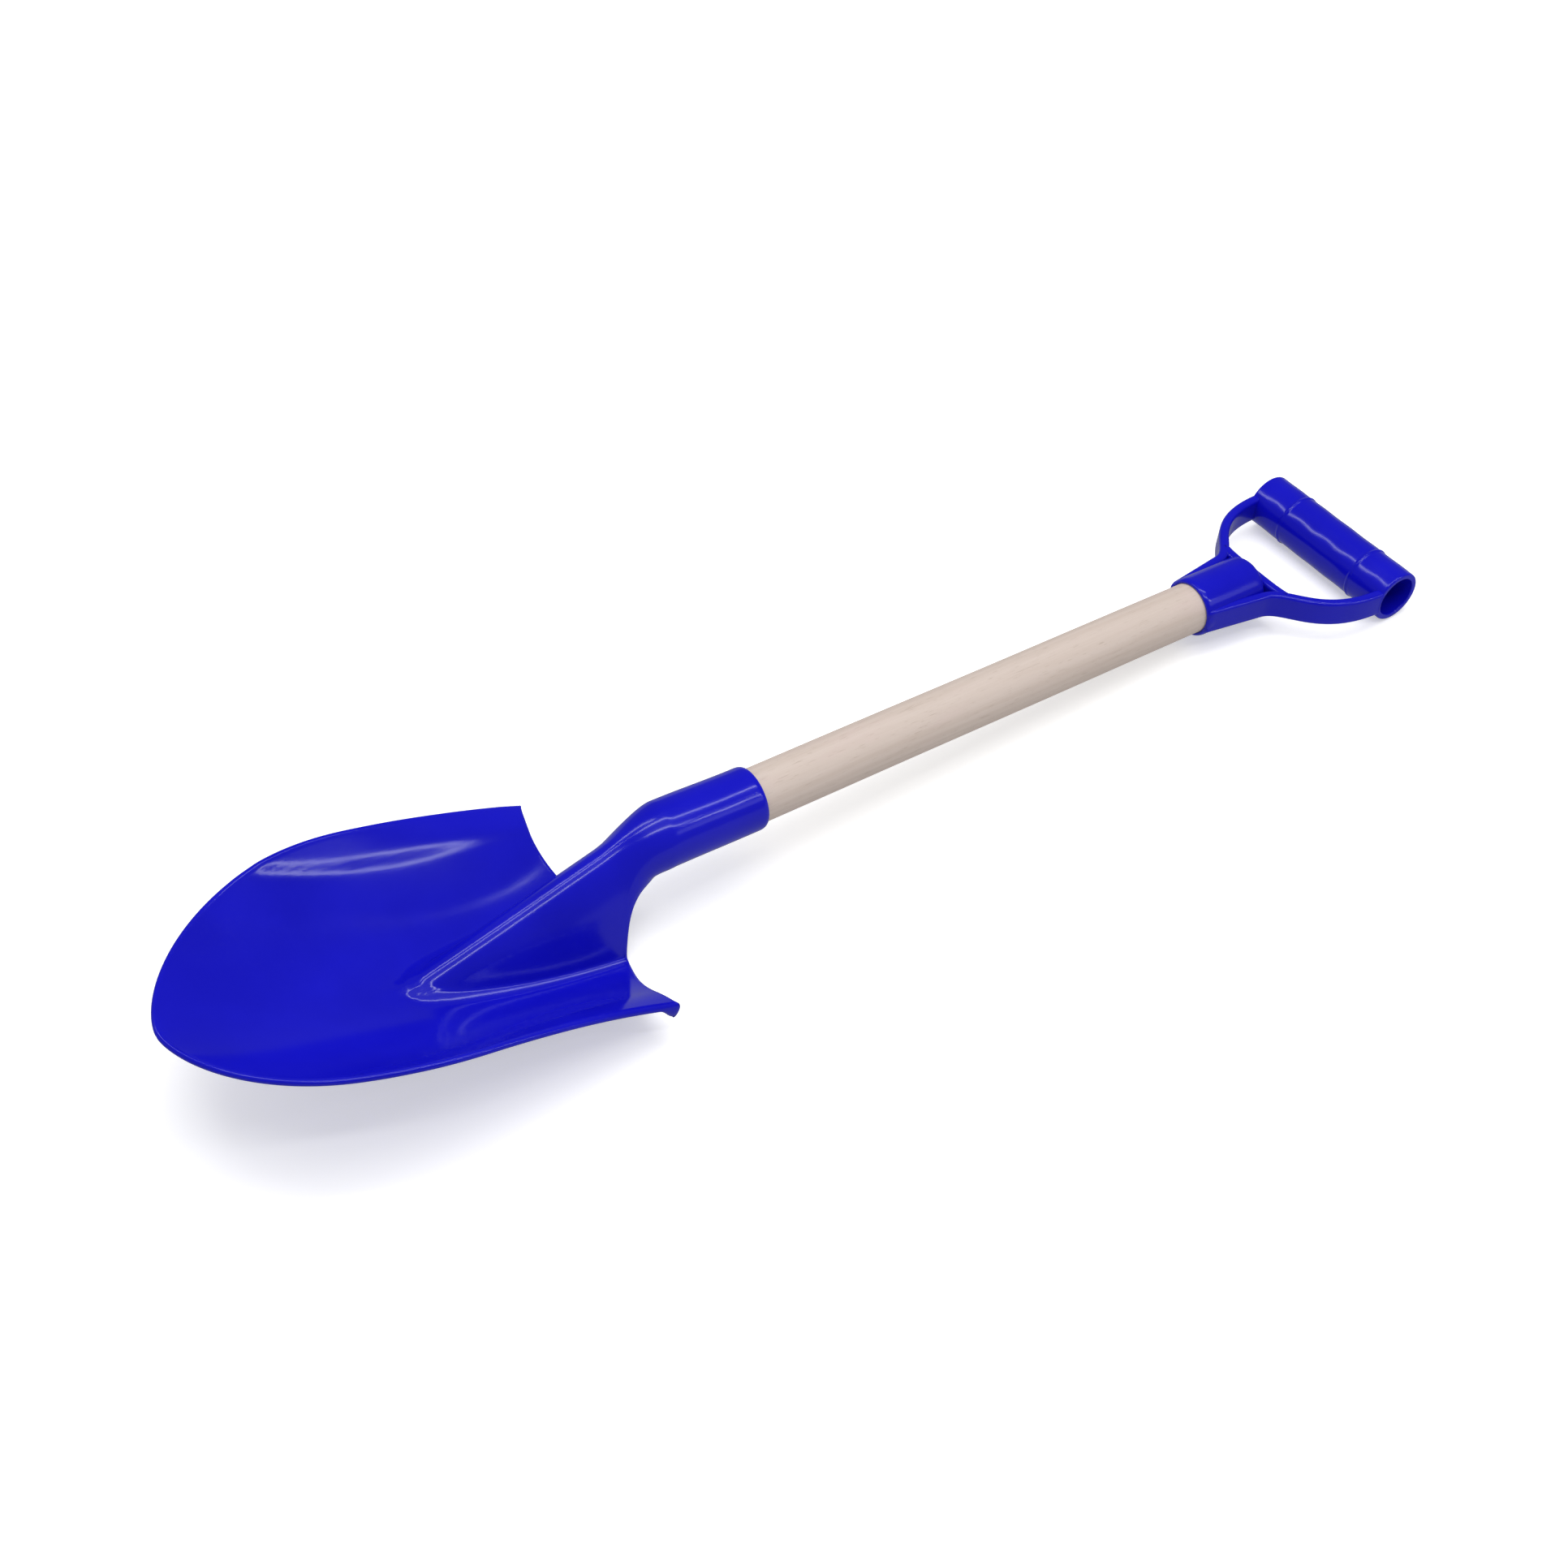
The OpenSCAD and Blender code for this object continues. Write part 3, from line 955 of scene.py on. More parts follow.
    def top_normal(self, x: Array, y: Array) -> Array:
        """Works out the upper face's normal, from two small probes that stay inside the rim.

        Args:
            x: Places along the shaft.
            y: Places across it.

        Returns:
            The unit normals, upward.
        """
        probe = 0.05
        inward = np.where(y < 0, probe, -probe)
        z = self.top_z(x, y)
        slope_x = (self.top_z(x + probe, y) - z) / probe
        slope_y = (self.top_z(x, y + inward) - z) / inward
        return unit(stack(-slope_x, -slope_y, 1.0))

    def rounding(self, way: Array) -> Array:
        """Works out how far a corner's rounding pulls in an edge point, on both axes.

        It is r - (s + sqrt(2r^2 - s^2)) / 2 at a distance s from the corner, up to r.

        Args:
            way: Distances from the corner.

        Returns:
            The pull at each distance.
        """
        r = self.corner_round
        s = np.clip(way, 0.0, r)
        return r - (s + np.sqrt(2 * r * r - s * s)) / 2

    def rows(self) -> tuple[Array, Array, Array, Array]:
        """Works out where each row of the grid starts, ends and how far it reaches.

        The tip row turns tip_turn degrees round the nose. Behind the widest place the rows'
        edges close in on the corner with the power crowd_side, so that its rounding is even.
        The back edge is a hollow arc of the height 4p(1 - p), with p as the way from the foot
        to the corner to hollow_power. The neck's edge falls back to neck_half exponentially.

        Returns:
            Each row's middle x, edge x, half width and share of wrap onto the socket.
        """
        nose, side, back, neck, _ = self.counts
        row_bow = self.bow_walls * self.wall
        first = math.radians(self.tip_turn)
        tip_bow = self.nose_len * (1 - math.cos(first))
        a = np.linspace(first, math.pi / 2, nose + 1)[:-1]
        x0 = self.x_wide - self.nose_len * np.cos(a)
        x1 = mix(self.x_back, self.x_wide, (1 - np.arange(side) / side) ** self.crowd_side)
        front = np.concatenate([x0, x1])
        aside = (x1 - self.x_wide) / (self.x_back - self.x_wide)
        early, late = self.bow_growth
        grown = np.concatenate([np.arange(nose) * early / nose, early + late * aside])
        bow = mix(tip_bow, row_bow, grown / (early + late))
        s = np.arange(back) / back
        from_foot = mix((1 - s) ** self.crowd_corner, 1 - s * s, self.crowd_even)
        half_back = mix(self.foot_half, self.shoulder_w / 2, from_foot)
        hollow = from_foot**self.hollow_power
        x2 = self.x_back - self.back_bow * 4 * hollow * (1 - hollow)
        w = (np.arange(neck + 1) / neck) ** self.crowd_neck
        x3 = mix(self.x_back, self.x_join, w)
        swept = np.exp((self.x_back - x3) / self.edge_sweep)
        half_neck = self.neck_half + (self.foot_half - self.neck_half) * swept
        middle = np.concatenate([front - bow, self.x_back - row_bow * (1 - s), x3])
        edge = np.concatenate([front, x2, x3])
        half = np.concatenate([self.rim_half(front), half_back, half_neck])
        far_away = np.full(len(x3), self.blade_len)
        pulled = self.rounding(
            np.concatenate([self.x_back - front, self.shoulder_w / 2 - half_back, far_away])
        )
        edge, half = edge - pulled, half - pulled
        wrap = np.concatenate([np.zeros(len(front) + back), ease(w)])
        return middle, edge, half, wrap

    def spread(self, u: Array, middle: Array, edge: Array, half: Array) -> Array:
        """Works out where a row's points lie across it, drawn together at the frog's foot.

        The inner half of the points goes from the middle to the foot, and the outer half from
        the foot to the edge, each closing in on the foot with the power crowd_foot.

        Args:
            u: Even shares across a row, from -1 to 1.
            middle: Each row's middle x.
            edge: Each row's edge x.
            half: Each row's half width.

        Returns:
            The shares at which the points stand, one row each.
        """

        def share_at(x: Array) -> Array:
            """Returns the frog's share of a row's width at x."""
            return np.clip(self.foot_y(x) / half, self.foot_share_min, self.foot_share_max)

        s = share_at(middle)
        s = share_at(mix(middle, edge, s * s))[:, None]
        a, b = np.abs(u), 0.5
        inner = s * (1 - (1 - clip01(a / b)) ** self.crowd_foot)
        outer = mix(s, 1.0, clip01((a - b) / (1 - b)) ** self.crowd_foot)
        return np.sign(u) * np.where(a < b, inner, outer)

    def skin(self) -> tuple[Array, Array, int]:
        """Lays out the outer skin.

        A row's x bows back from its edge with a power of its share across, nose_root at the
        tip and 2 behind it. Over the neck each row blends from the height z(x, y) onto an arch
        of arch_open to arch_closed degrees a side, and behind x_join rings make the socket.

        Returns:
            The outer grid up to the socket's lip, the sheet's normals, and the join's row.
        """
        middle, edge, half, wrap = self.rows()
        u = np.linspace(-1, 1, self.across + 1)[None, :]
        m, e, h, w = (v[:, None] for v in (middle, edge, half, wrap))
        g = mix(self.spread(u, middle, edge, half), u, w)
        settled = ease((e - self.x_tip) / self.wall / self.bow_walls)
        x = mix(m, e, np.abs(g) ** mix(self.nose_root, 2.0, settled))
        flat = stack(x, h * g, self.top_z(x, h * g))
        a = np.radians(u * mix(self.arch_open, self.arch_closed, w**self.arch_power))
        r = self.socket_r(x)
        lift = self.socket_z(x) + self.crest_z(x) - self.crest_z(np.array(self.x_join))
        arch = stack(x, r * np.sin(a), lift + r * np.cos(a))
        thin = mix(flat, arch, w[..., None])
        lip = self.mouth_x - self.lip_len
        xs = np.linspace(self.x_join, lip, self.counts[4] + 1)[1:, None]
        ring = np.radians(self.arch_closed * u)
        r = self.socket_r(xs)
        tube = stack(xs, r * np.sin(ring), self.socket_z(xs) + r * np.cos(ring))
        skin = np.concatenate([thin, tube])
        join = len(middle) - 1
        skin[join:, -1] = skin[join:, 0]
        around = stack(0.0, np.sin(a), np.cos(a))
        return skin, unit(mix(self.top_normal(x, h * g), around, w[..., None])), join

    def edge_loop(self, join: int) -> tuple[Array, Array]:
        """Lists the sheet's free edge: up the left side, across the tip row and back.

        Args:
            join: The row at which the neck has closed.

        Returns:
            The rows and the columns of the edge's points.
        """
        last = self.across
        up, down = np.arange(join, 0, -1), np.arange(1, join + 1)
        rows = np.concatenate([up, np.zeros(last + 1, int), down])
        cols = np.concatenate([np.zeros(join, int), np.arange(last + 1), np.full(join, last)])
        return rows, cols

    def outward(self, top: Array, up: Array, loop: tuple[Array, Array]) -> Array:
        """Works out the way out of the sheet, along the sheet, at each point of its edge.

        It is the cross product of the edge's own way and the sheet's normal, with the sign
        that leads away from the points inside.

        Args:
            top: The upper face's grid.
            up: Its normals.
            loop: Rows and columns of the edge.

        Returns:
            The unit vectors.
        """
        rows, cols = loop
        edge = top[rows, cols]
        out = unit(np.cross(np.gradient(edge, axis=0), up[rows, cols]))
        inside = top[np.minimum(rows + 1, len(top) - 1), np.clip(cols, 1, self.across - 1)]
        return out * np.sign(np.sum(out * (edge - inside)))

    def drawn_in(self, top: Array, pull: Array) -> Array:
        """Draws the upper face in at its edges, to leave room for the rounded rim.

        The pull of the nearest edge point in the same row or column fades out over
        edge_reach, and where two edges are near, their pulls are averaged.

        Args:
            top: The upper face's grid.
            pull: How far each point of the edge loop moves inward.

        Returns:
            The new grid.
        """
        rows, cols = top.shape[:2]
        join = rows - 1
        step = np.linalg.norm(np.diff(top, axis=1), axis=-1)
        from_left = np.concatenate([np.zeros((rows, 1)), np.cumsum(step, axis=1)], axis=1)
        from_right = from_left[:, -1:] - from_left
        step = np.linalg.norm(np.diff(top, axis=0), axis=-1)
        from_tip = np.concatenate([np.zeros((1, cols)), np.cumsum(step, axis=0)])
        weights = [hump(d, self.edge_reach) for d in (from_left, from_right, from_tip)]
        left = pull[: join + 1][::-1][:, None, :]
        right = pull[join + cols - 1 :][:, None, :]
        front = pull[join : join + cols][None, :, :]
        shift = sum(w[..., None] * p for w, p in zip(weights, (left, right, front)))
        return top - shift / np.maximum(sum(weights), 1.0)[..., None]

    def thickness(self, top: Array) -> Array:
        """Works out the sheet's thickness: the wall, and the tab's height more at a corner.

        Args:
            top: The upper face's grid.

        Returns:
            The thickness at each of its points.
        """
        away = np.hypot(top[..., 0] - self.x_back, np.abs(top[..., 1]) - self.shoulder_w / 2)
        return self.wall + self.tab_h * ease(self.tab_steep * (1 - away / self.tab_reach))

    def end_cap(self, ring: Array) -> Array:
        """Closes the under face inside the neck by a low dome over its last ring.

        Each row is hub + (ring - hub) cos t, pushed back by end_dome sin t.

        Args:
            ring: The under face's last row.

        Returns:
            The dome's rows, from the ring inward.
        """
        t = np.radians(np.linspace(0, 90, 11))[1:, None, None]
        hub = np.array([self.x_join, 0.0, self.neck_lift])
        push = np.array([self.end_dome, 0, 0])
        dome = hub + (ring - hub) * np.cos(t) + push * np.sin(t)
        dome[-1] = hub + push
        return dome

    def bore(self, lip_row: Array) -> Array:
        """Turns the socket's rounded mouth and its blind bore.

        Args:
            lip_row: The skin's last row, from which the mouth goes on.

        Returns:
            The grid from the lip to the bore's end.
        """
        c, e, f, b = self.bore_r, self.mouth_round, self.end_round, self.bore_len
        r1, m, drop = self.bore_r + self.socket_wall, self.mouth_x, self.lip_drop
        profile = np.concatenate(
            [
                arc(m - self.lip_len, r1 - drop, self.lip_len, drop, 90, 0, 9),
                line(m, r1 - drop, m, c + e, 2)[1:],
                arc(m - e, c + e, e, e, 0, -90, 4)[1:],
                line(m - e, c, f - b, c, 14)[1:],
                arc(f - b, c - f, f, f, 90, 180, 4)[1:],
                line(-b, c - f, -b, 0, 6)[1:],
            ]
        )
        ring = np.radians(self.arch_closed * np.linspace(-1, 1, self.across + 1)[None, :])
        x, r = profile[:, :1], profile[:, 1:]
        outside = r > c + 2 * e
        drift = self.socket_z(x) * outside
        grow = (self.socket_r(x) - r1) * outside
        inner = stack(x, (r + grow) * np.sin(ring), drift + (r + grow) * np.cos(ring))
        inner[0] = lip_row
        inner[:, -1] = inner[:, 0]
        return inner

    def build(self, shaft: Shaft) -> bpy.types.Object:
        """Builds the blade as one closed mesh.

        The upper face is drawn in by half the wall along its edges, the under face lies one
        thickness down the normals, and half-round strips, centre + cos p * half + sin p * out,
        join the two.

        Args:
            shaft: Puts the points into the solids' frame.

        Returns:
            The blade.
        """
        skin, up, join = self.skin()
        loop = self.edge_loop(join)
        out = self.outward(skin[: join + 1], up, loop)
        away = np.abs(skin[: join + 1][loop][:, 1])
        closing = self.rows()[3][loop[0]] > 0.5
        open_share = np.where(closing, ease(away / self.seam_half), 1.0)
        pull = out * (self.wall / 2 * open_share)[:, None]
        top = self.drawn_in(skin[: join + 1], pull)
        skin[: join + 1] = top
        under = top - self.thickness(top)[..., None] * up
        under[join, -1] = under[join, 0]
        centre, half = (top[loop] + under[loop]) / 2, (top[loop] - under[loop]) / 2
        phi = np.radians(np.linspace(0, 180, 9))[:, None, None]
        rim = centre + np.cos(phi) * half + np.sin(phi) * pull
        rim[:, -1] = rim[:, 0]
        work = Patchwork()
        work.add(skin).add(self.bore(skin[-1]))
        work.add(np.concatenate([under, self.end_cap(under[join])]), flip=True).add(rim)
        return work.build("blade_shell", shaft)

    def make(self, shaft: Shaft, plastic: bpy.types.Material) -> None:
        """Builds the blade and dresses it in plastic."""
        dress(self.build(shaft), plastic, Slot.PLASTIC, "blade")


# The grip


@dataclass(frozen=True)
class Grip:
    """The moulded D-grip: a socket with two fins, two arms, a joining bar and a crossbar."""

    # The socket
    mouth_x: float = 216.35
    bore_r: float = 10.65
    wall: float = 1.75
    bore_len: float = 29.0
    dome_len: float = 6.0
    lip_len: float = 2.6
    lip_drop: float = 1.1
    mouth_round: float = 0.4
    end_round: float = 1.0
    # The crossbar, its moulding rings and its unevenness
    bar_x: float = 297.95
    bar_len: float = 78.0
    bar_r: float = 11.32
    bar_bore_r: float = 8.8
    bar_round: float = 0.9
    bar_lip: float = 0.5
    ring_offset: float = 20.7
    ring_w: float = 1.0
    ring_h: float = 0.4
    uneven_h: float = 0.06
    uneven_per_mm: float = 0.42
    # The arms, their fins on the socket and the bar that joins them
    arm_t: float = 4.2
    arm_h: float = 11.5
    arm_round: float = 1.6
    arm_leave: tuple[float, float] = (1.2, 0.5)
    arm_arrive: tuple[float, float] = (1.0, 0.75)
    fin_in: float = 9.7
    fin_out: float = 13.8
    fin_len: float = 28.0
    fin_start: float = 0.3
    fin_round: float = 0.9
    fin_end: float = 0.88
    base_reach: float = 35.4

    def socket(self, shaft: Shaft) -> bpy.types.Object:
        """Builds the socket, a turned tube closed by a dome.

        Args:
            shaft: Puts the points into the solids' frame.

        Returns:
            The socket.
        """
        b, c, r = self.bore_len, self.bore_r, self.bore_r + self.wall
        e, f, lip, drop = self.mouth_round, self.end_round, self.lip_len, self.lip_drop
        profile = np.concatenate(
            [
                line(b, 0, b, c - f, 5),
                arc(b - f, c - f, f, f, 0, 90, 4)[1:],
                line(b - f, c, e, c, 12)[1:],
                arc(e, c + e, e, e, -90, -180, 4)[1:],
                arc(lip, r - drop, lip, drop, 180, 90, 8),
                line(lip, r, b, r, 16)[1:],
                arc(b, 0, self.dome_len, r, 90, 0, 16)[1:],
            ]
        )
        start = np.array([self.mouth_x, 0, 0])
        grid = turned(profile, start, np.array([1.0, 0, 0]), np.array([0, 0, 1.0]), 128)
        return Patchwork().add(grid).build("grip_socket", shaft)

    def arm_path(self) -> tuple[Array, Array]:
        """Draws the left arm's middle line: a straight fin, then a cubic Bezier curve.

        The curve's handles are set in shares of the arm's height along x and of its
        thickness along y.

        Returns:
            The whole line, and the curve alone, as points (x, y).
        """
        size = np.array([self.arm_h, self.arm_t])
        leave = np.array([self.mouth_x + self.fin_len, self.fin_out])
        stop = np.array([self.bar_x, self.bar_len / 2 - self.arm_t / 2])
        out = leave + self.arm_leave * size
        back = np.array([leave[0], stop[1]]) + self.arm_arrive * size
        t = np.linspace(0, 1, 65)[:, None]
        curve = (
            leave * (1 - t) ** 3
            + 3 * out * (1 - t) ** 2 * t
            + 3 * back * (1 - t) * t**2
            + stop * t**3
        )
        fin = line(self.mouth_x + self.fin_start, self.fin_in, *leave, 16)[:-1]
        return np.concatenate([fin, curve]), curve

    def arm(self, side: int, shaft: Shaft) -> bpy.types.Object:
        """Builds one arm with its fin, whose start is rounded off as a quarter circle.

        Inside the socket's wall and the crossbar's wall the points are held on a circle in
        the middle of the wall, so that nothing enters a bore.

        Args:
            side: 1 for the left arm and -1 for the right one.
            shaft: Puts the points into the solids' frame.

        Returns:
            The arm.
        """
        path, _ = self.arm_path()
        run = np.linalg.norm(np.diff(path, axis=0), axis=1).cumsum()
        run = clip01(np.concatenate([[0.0], run]) / self.fin_round)
        grow = mix(self.fin_end, 1.0, np.sqrt(clip01(1 - (1 - run) ** 2)))
        grid = carried(path, rounded_bar(self.arm_t, self.arm_h, self.arm_round), grow)
        x, y, z = grid[..., 0], grid[..., 1], grid[..., 2]
        in_wall = self.bore_r + self.wall / 2
        deep = (np.hypot(y, z) < in_wall) & (x < self.mouth_x + self.bore_len)
        y = np.where(deep, np.sqrt(np.maximum(in_wall**2 - z**2, 0)), y)
        in_bar = (self.bar_r + self.bar_bore_r) / 2
        x = np.minimum(x, self.bar_x - np.sqrt(np.maximum(in_bar**2 - z**2, 0)))
        name = "grip_arm_left" if side > 0 else "grip_arm_right"
        return Patchwork().add(stack(x, y * side, z)).build(name, shaft)

    def base_bar(self, shaft: Shaft) -> bpy.types.Object:
        """Builds the bar behind the dome, bowed forward with the fourth power at its ends.

        Args:
            shaft: Puts the points into the solids' frame.

        Returns:
            The bar, whose ends lie inside the arms.
        """
        end = self.arm_path()[1][16]
        s = np.linspace(-1, 1, 49)
        path = np.stack([mix(self.mouth_x + self.base_reach, end[0], s**4), end[1] * s], axis=-1)
        section = rounded_bar(self.arm_t, self.arm_h, self.arm_round)
        grid = carried(path, section, np.ones(len(path)))
        return Patchwork().add(grid).build("grip_base_bar", shaft)

    def bar_relief(self, y: Array, a: Array) -> Array:
        """Works out how far the crossbar's outside stands proud.

        Two narrow rings go round it, and a slow unevenness of the moulding, a product of
        sines of y and a, runs along it.

        Args:
            y: Places along the crossbar.
            a: Angles round it.

        Returns:
            The heights.
        """
        rings = hump(np.abs(y) - self.ring_offset, self.ring_w) * self.ring_h
        slow = np.sin(y * self.uneven_per_mm + 1.1 * np.cos(a)) * np.sin(2 * a + 0.6)
        return rings + self.uneven_h * slow - self.uneven_h

    def crossbar(self, shaft: Shaft) -> bpy.types.Object:
        """Builds the hollow crossbar with rounded ends and two moulding rings.

        The relief of the outside fades out round the ends, over their first few rows.

        Args:
            shaft: Puts the points into the solids' frame.

        Returns:
            The crossbar.
        """
        r, b, e, half = self.bar_r, self.bar_bore_r, self.bar_round, self.bar_len / 2
        lip, columns, fade = self.bar_lip, 160, 8
        outer = line(-half + e, r, half - e, r, 360)
        profile = np.concatenate(
            [
                outer,
                arc(half - e, r - e, e, e, 90, 0, 7)[1:],
                line(half, r - e, half, b + lip, 2)[1:],
                arc(half - lip, b + lip, lip, lip, 0, -90, 5)[1:],
                line(half - lip, b, -half + lip, b, 24)[1:],
                arc(-half + lip, b + lip, lip, lip, 270, 180, 5)[1:],
                line(-half, b + lip, -half, r - e, 2)[1:],
                arc(-half + e, r - e, e, e, 180, 90, 7)[1:],
            ]
        )
        side, way = np.array([-1.0, 0, 0]), np.array([0, 1.0, 0])
        start = np.array([self.bar_x, 0, 0])
        grid = turned(profile, start, way, side, columns)
        rise = self.bar_relief(outer[:, :1], round_turn(columns)[None, :])
        spoke = (grid[0] - start - way * profile[0, 0]) / r
        grid[: len(outer)] += rise[..., None] * spoke[None]
        near = hump(np.arange(1, len(profile) - len(outer) + 1), fade)
        first, last = rise[-1][None, :, None], rise[0][None, :, None]
        grid[len(outer) :] += (near[:, None, None] * first) * spoke[None]
        grid[len(outer) :] += (near[::-1][:, None, None] * last) * spoke[None]
        grid[-1] = grid[0]
        return Patchwork().add(grid).build("grip_crossbar", shaft)

    def build(self, shaft: Shaft) -> list[bpy.types.Object]:
        """Returns the grip's pieces."""
        arms = [self.arm(side, shaft) for side in (1, -1)]
        return [self.socket(shaft), *arms, self.base_bar(shaft), self.crossbar(shaft)]

    def make(self, shaft: Shaft, plastic: bpy.types.Material) -> None:
        """Builds the grip's pieces and dresses them in plastic."""
        for piece in self.build(shaft):
            dress(piece, plastic, Slot.PLASTIC, "grip")


# The dowel and its screws


@dataclass(frozen=True)
class Dowel:
    """The wooden stick, with eased ends and the slight unevenness of sanding."""

    x0: float = -31.7
    x1: float = 245.05
    r: float = 10.55
    ease_len: float = 1.0
    drift_h: float = 0.03
    drift_per_mm: float = 0.05
    facet_h: float = 0.015
    facets: int = 5
    facet_per_mm: float = 0.021
    fibre_h: float = 0.008
    fibres: int = 23
    fibre_per_mm: tuple[float, float] = (0.03, 0.013)

    def build(self, shaft: Shaft) -> bpy.types.Object:
        """Builds the dowel, a turned profile whose radius drifts by a few hundredths.

        The drift is a slow sine along x, a few soft facets round the stick that turn slowly
        along it, and many low fibres that come and go.

        Args:
            shaft: Puts the points into the solids' frame.

        Returns:
            The dowel.
        """
        e, columns = self.ease_len, 160
        profile = np.concatenate(
            [
                line(self.x0, 0, self.x0, self.r - e, 5),
                arc(self.x0 + e, self.r - e, e, e, 180, 90, 6)[1:],
                line(self.x0 + e, self.r, self.x1 - e, self.r, 380)[1:],
                arc(self.x1 - e, self.r - e, e, e, 90, 0, 6)[1:],
                line(self.x1, self.r - e, self.x1, 0, 5)[1:],
            ]
        )
        way, side = np.array([1.0, 0, 0]), np.array([0, 0, 1.0])
        grid = turned(profile, np.zeros(3), way, side, columns)
        a = round_turn(columns)
        x, r = profile[:, :1], profile[:, 1:]
        sway, fade = self.fibre_per_mm
        drift = self.drift_h * np.sin(self.drift_per_mm * x + 1.2 * np.sin(a))
        facet = self.facet_h * np.sin(self.facets * a + self.facet_per_mm * x)
        fibre = self.fibre_h * np.sin(self.fibres * a + 0.9 * np.sin(sway * x))
        fibre = fibre * np.sin(fade * x + 3 * a)
        factor = 1 + (drift + facet + fibre - self.drift_h) * (r / self.r) / self.r
        grid[..., 1:] *= factor[..., None]
        return Patchwork().add(grid).build("dowel_stick", shaft)

    def make(self, shaft: Shaft) -> None:
        """Builds the dowel and dresses it in wood that runs along it."""
        dress(self.build(shaft), BareWood(tilt=shaft.tilt).make(), Slot.WOOD, "dowel")


@dataclass(frozen=True)
class Screw:
    """A small pan-head screw with a cross recess and a coarse thread, and its collar."""

    name: str
    node: str
    moulding: str
    x: float
    socket_r: float
    # The head and its cross recess
    seat_depth: float = 0.6
    head_r: float = 2.8
    head_h: float = 1.9
    head_power: float = 0.85
    recess_half_w: float = 0.62
    recess_half_len: float = 1.25
    recess_end: float = 0.35
    recess_depth: float = 1.15
    recess_floor: float = 0.8
    # The shank and its thread
    shank_r: float = 1.4
    length: float = 9.5
    point_len: float = 1.96
    pitch: float = 1.15
    taper_power: float = 0.8
    thread: float = 0.32
    thread_start: float = 1.2
    thread_run: float = 0.8
    tooth_power: float = 2.5
    # The collar: a ring with a rounded inner edge and a falling outer side
    collar_in: float = 3.05
    collar_flat: float = 3.9
    collar_fall_w: float = 0.8
    collar_fall_h: float = 0.6
    collar_h: float = 0.3
    collar_round: float = 0.25
    collar_foot: float = 0.9

    def build(self, shaft: Shaft) -> bpy.types.Object:
        """Builds the screw.

        The head's height is an ellipse less a cross-shaped pit, the larger of two bars. The
        shank's radius is its core plus a tooth that climbs one pitch in a turn.

        Args:
            shaft: Puts the points into the solids' frame.

        Returns:
            The screw.
        """
        a = np.linspace(0, TAU, 97)[None, :]
        rho = self.head_r * np.sin(np.radians(np.linspace(0, 90, 45)))[:, None]
        px, py = rho * np.cos(a), rho * np.sin(a)

        def bar(across: Array, along: Array) -> Array:
            """Returns the depth share of one bar of the cross."""
            ended = ease((np.abs(along) - self.recess_half_len) / self.recess_end)
            return hump(across, self.recess_half_w) ** 0.5 * (1 - ended)

        pit = self.recess_depth * np.maximum(bar(px, py), bar(py, px))
        dome = self.head_h * np.sqrt(clip01(1 - (rho / self.head_r) ** 2)) ** self.head_power
        head = stack(px, py, -(dome - np.minimum(pit, self.recess_floor * dome)))
        z = np.linspace(0, self.length, 190)[:, None]
        taper = clip01((self.length - z) / self.point_len) ** self.taper_power
        tooth = np.abs(((z / self.pitch - a / TAU) % 1.0) * 2 - 1) ** self.tooth_power
        begun = ease((z - self.thread_start) / self.thread_run)
        core = self.shank_r - self.thread * (1 - tooth) * begun
        shank = stack(core * taper * np.cos(a), core * taper * np.sin(a), z)
        grid = np.concatenate([head, shank])
        grid[:, -1] = grid[:, 0]
        grid += [self.x, 0.0, self.seat_depth - self.socket_r]
        return Patchwork().add(grid).build(self.name, shaft)

    def collar(self, shaft: Shaft) -> bpy.types.Object:
        """Builds the low moulded ring that stands round the screw's head.

        Its section (distance from the screw, height over the socket) is carried once round,
        and each point's height is measured from the socket's round underside.

        Args:
            shaft: Puts the points into the solids' frame.

        Returns:
            The collar.
        """
        near, flat, out = self.collar_in, self.collar_flat, self.collar_flat + self.collar_fall_w
        e, h, foot = self.collar_round, self.collar_h, -self.collar_foot
        low = h - self.collar_fall_h
        section = np.concatenate(
            [
                line(near, foot, near, h - e, 4),
                arc(near + e, h - e, e, e, 180, 90, 5)[1:],
                line(near + e, h, flat, h, 3)[1:],
                arc(flat, low, self.collar_fall_w, self.collar_fall_h, 90, 0, 8)[1:],
                line(out, low, out, foot, 2)[1:],
                line(out, foot, near, foot, 3)[1:],
            ]
        )
        a = np.linspace(0, TAU, 97)[None, :]
        rho, rise = section[:, :1], section[:, 1:]
        y = rho * np.sin(a)
        grid = stack(self.x + rho * np.cos(a), y, -np.sqrt(self.socket_r**2 - y**2) - rise)
        grid[:, -1] = grid[:, 0]
        return Patchwork().add(grid).build(self.name + "_collar", shaft)

    def make(
        self, shaft: Shaft, steel: bpy.types.Material, plastic: bpy.types.Material
    ) -> None:
        """Builds the screw and its collar, and dresses them in steel and plastic."""
        dress(self.build(shaft), steel, Slot.STEEL, self.node)
        dress(self.collar(shaft), plastic, Slot.PLASTIC, self.moulding)


# The studio


def stand(thing: bpy.types.Object, at: Triple, aim: Triple, spin: float) -> None:
    """Puts a lamp or a camera in its place and turns it.

    Args:
        thing: The object, which looks along its own -Z.
        at: Where it stands.
        aim: The point that it faces.
        spin: Turn about its own line of sight, in radians.
    """
    bpy.context.scene.collection.objects.link(thing)
    look = Vector(aim) - Vector(at)
    turn = look.to_track_quat("-Z", "Y").to_matrix() @ Matrix.Rotation(spin, 3, "Z")
    thing.matrix_world = Matrix.Translation(at) @ turn.to_4x4()


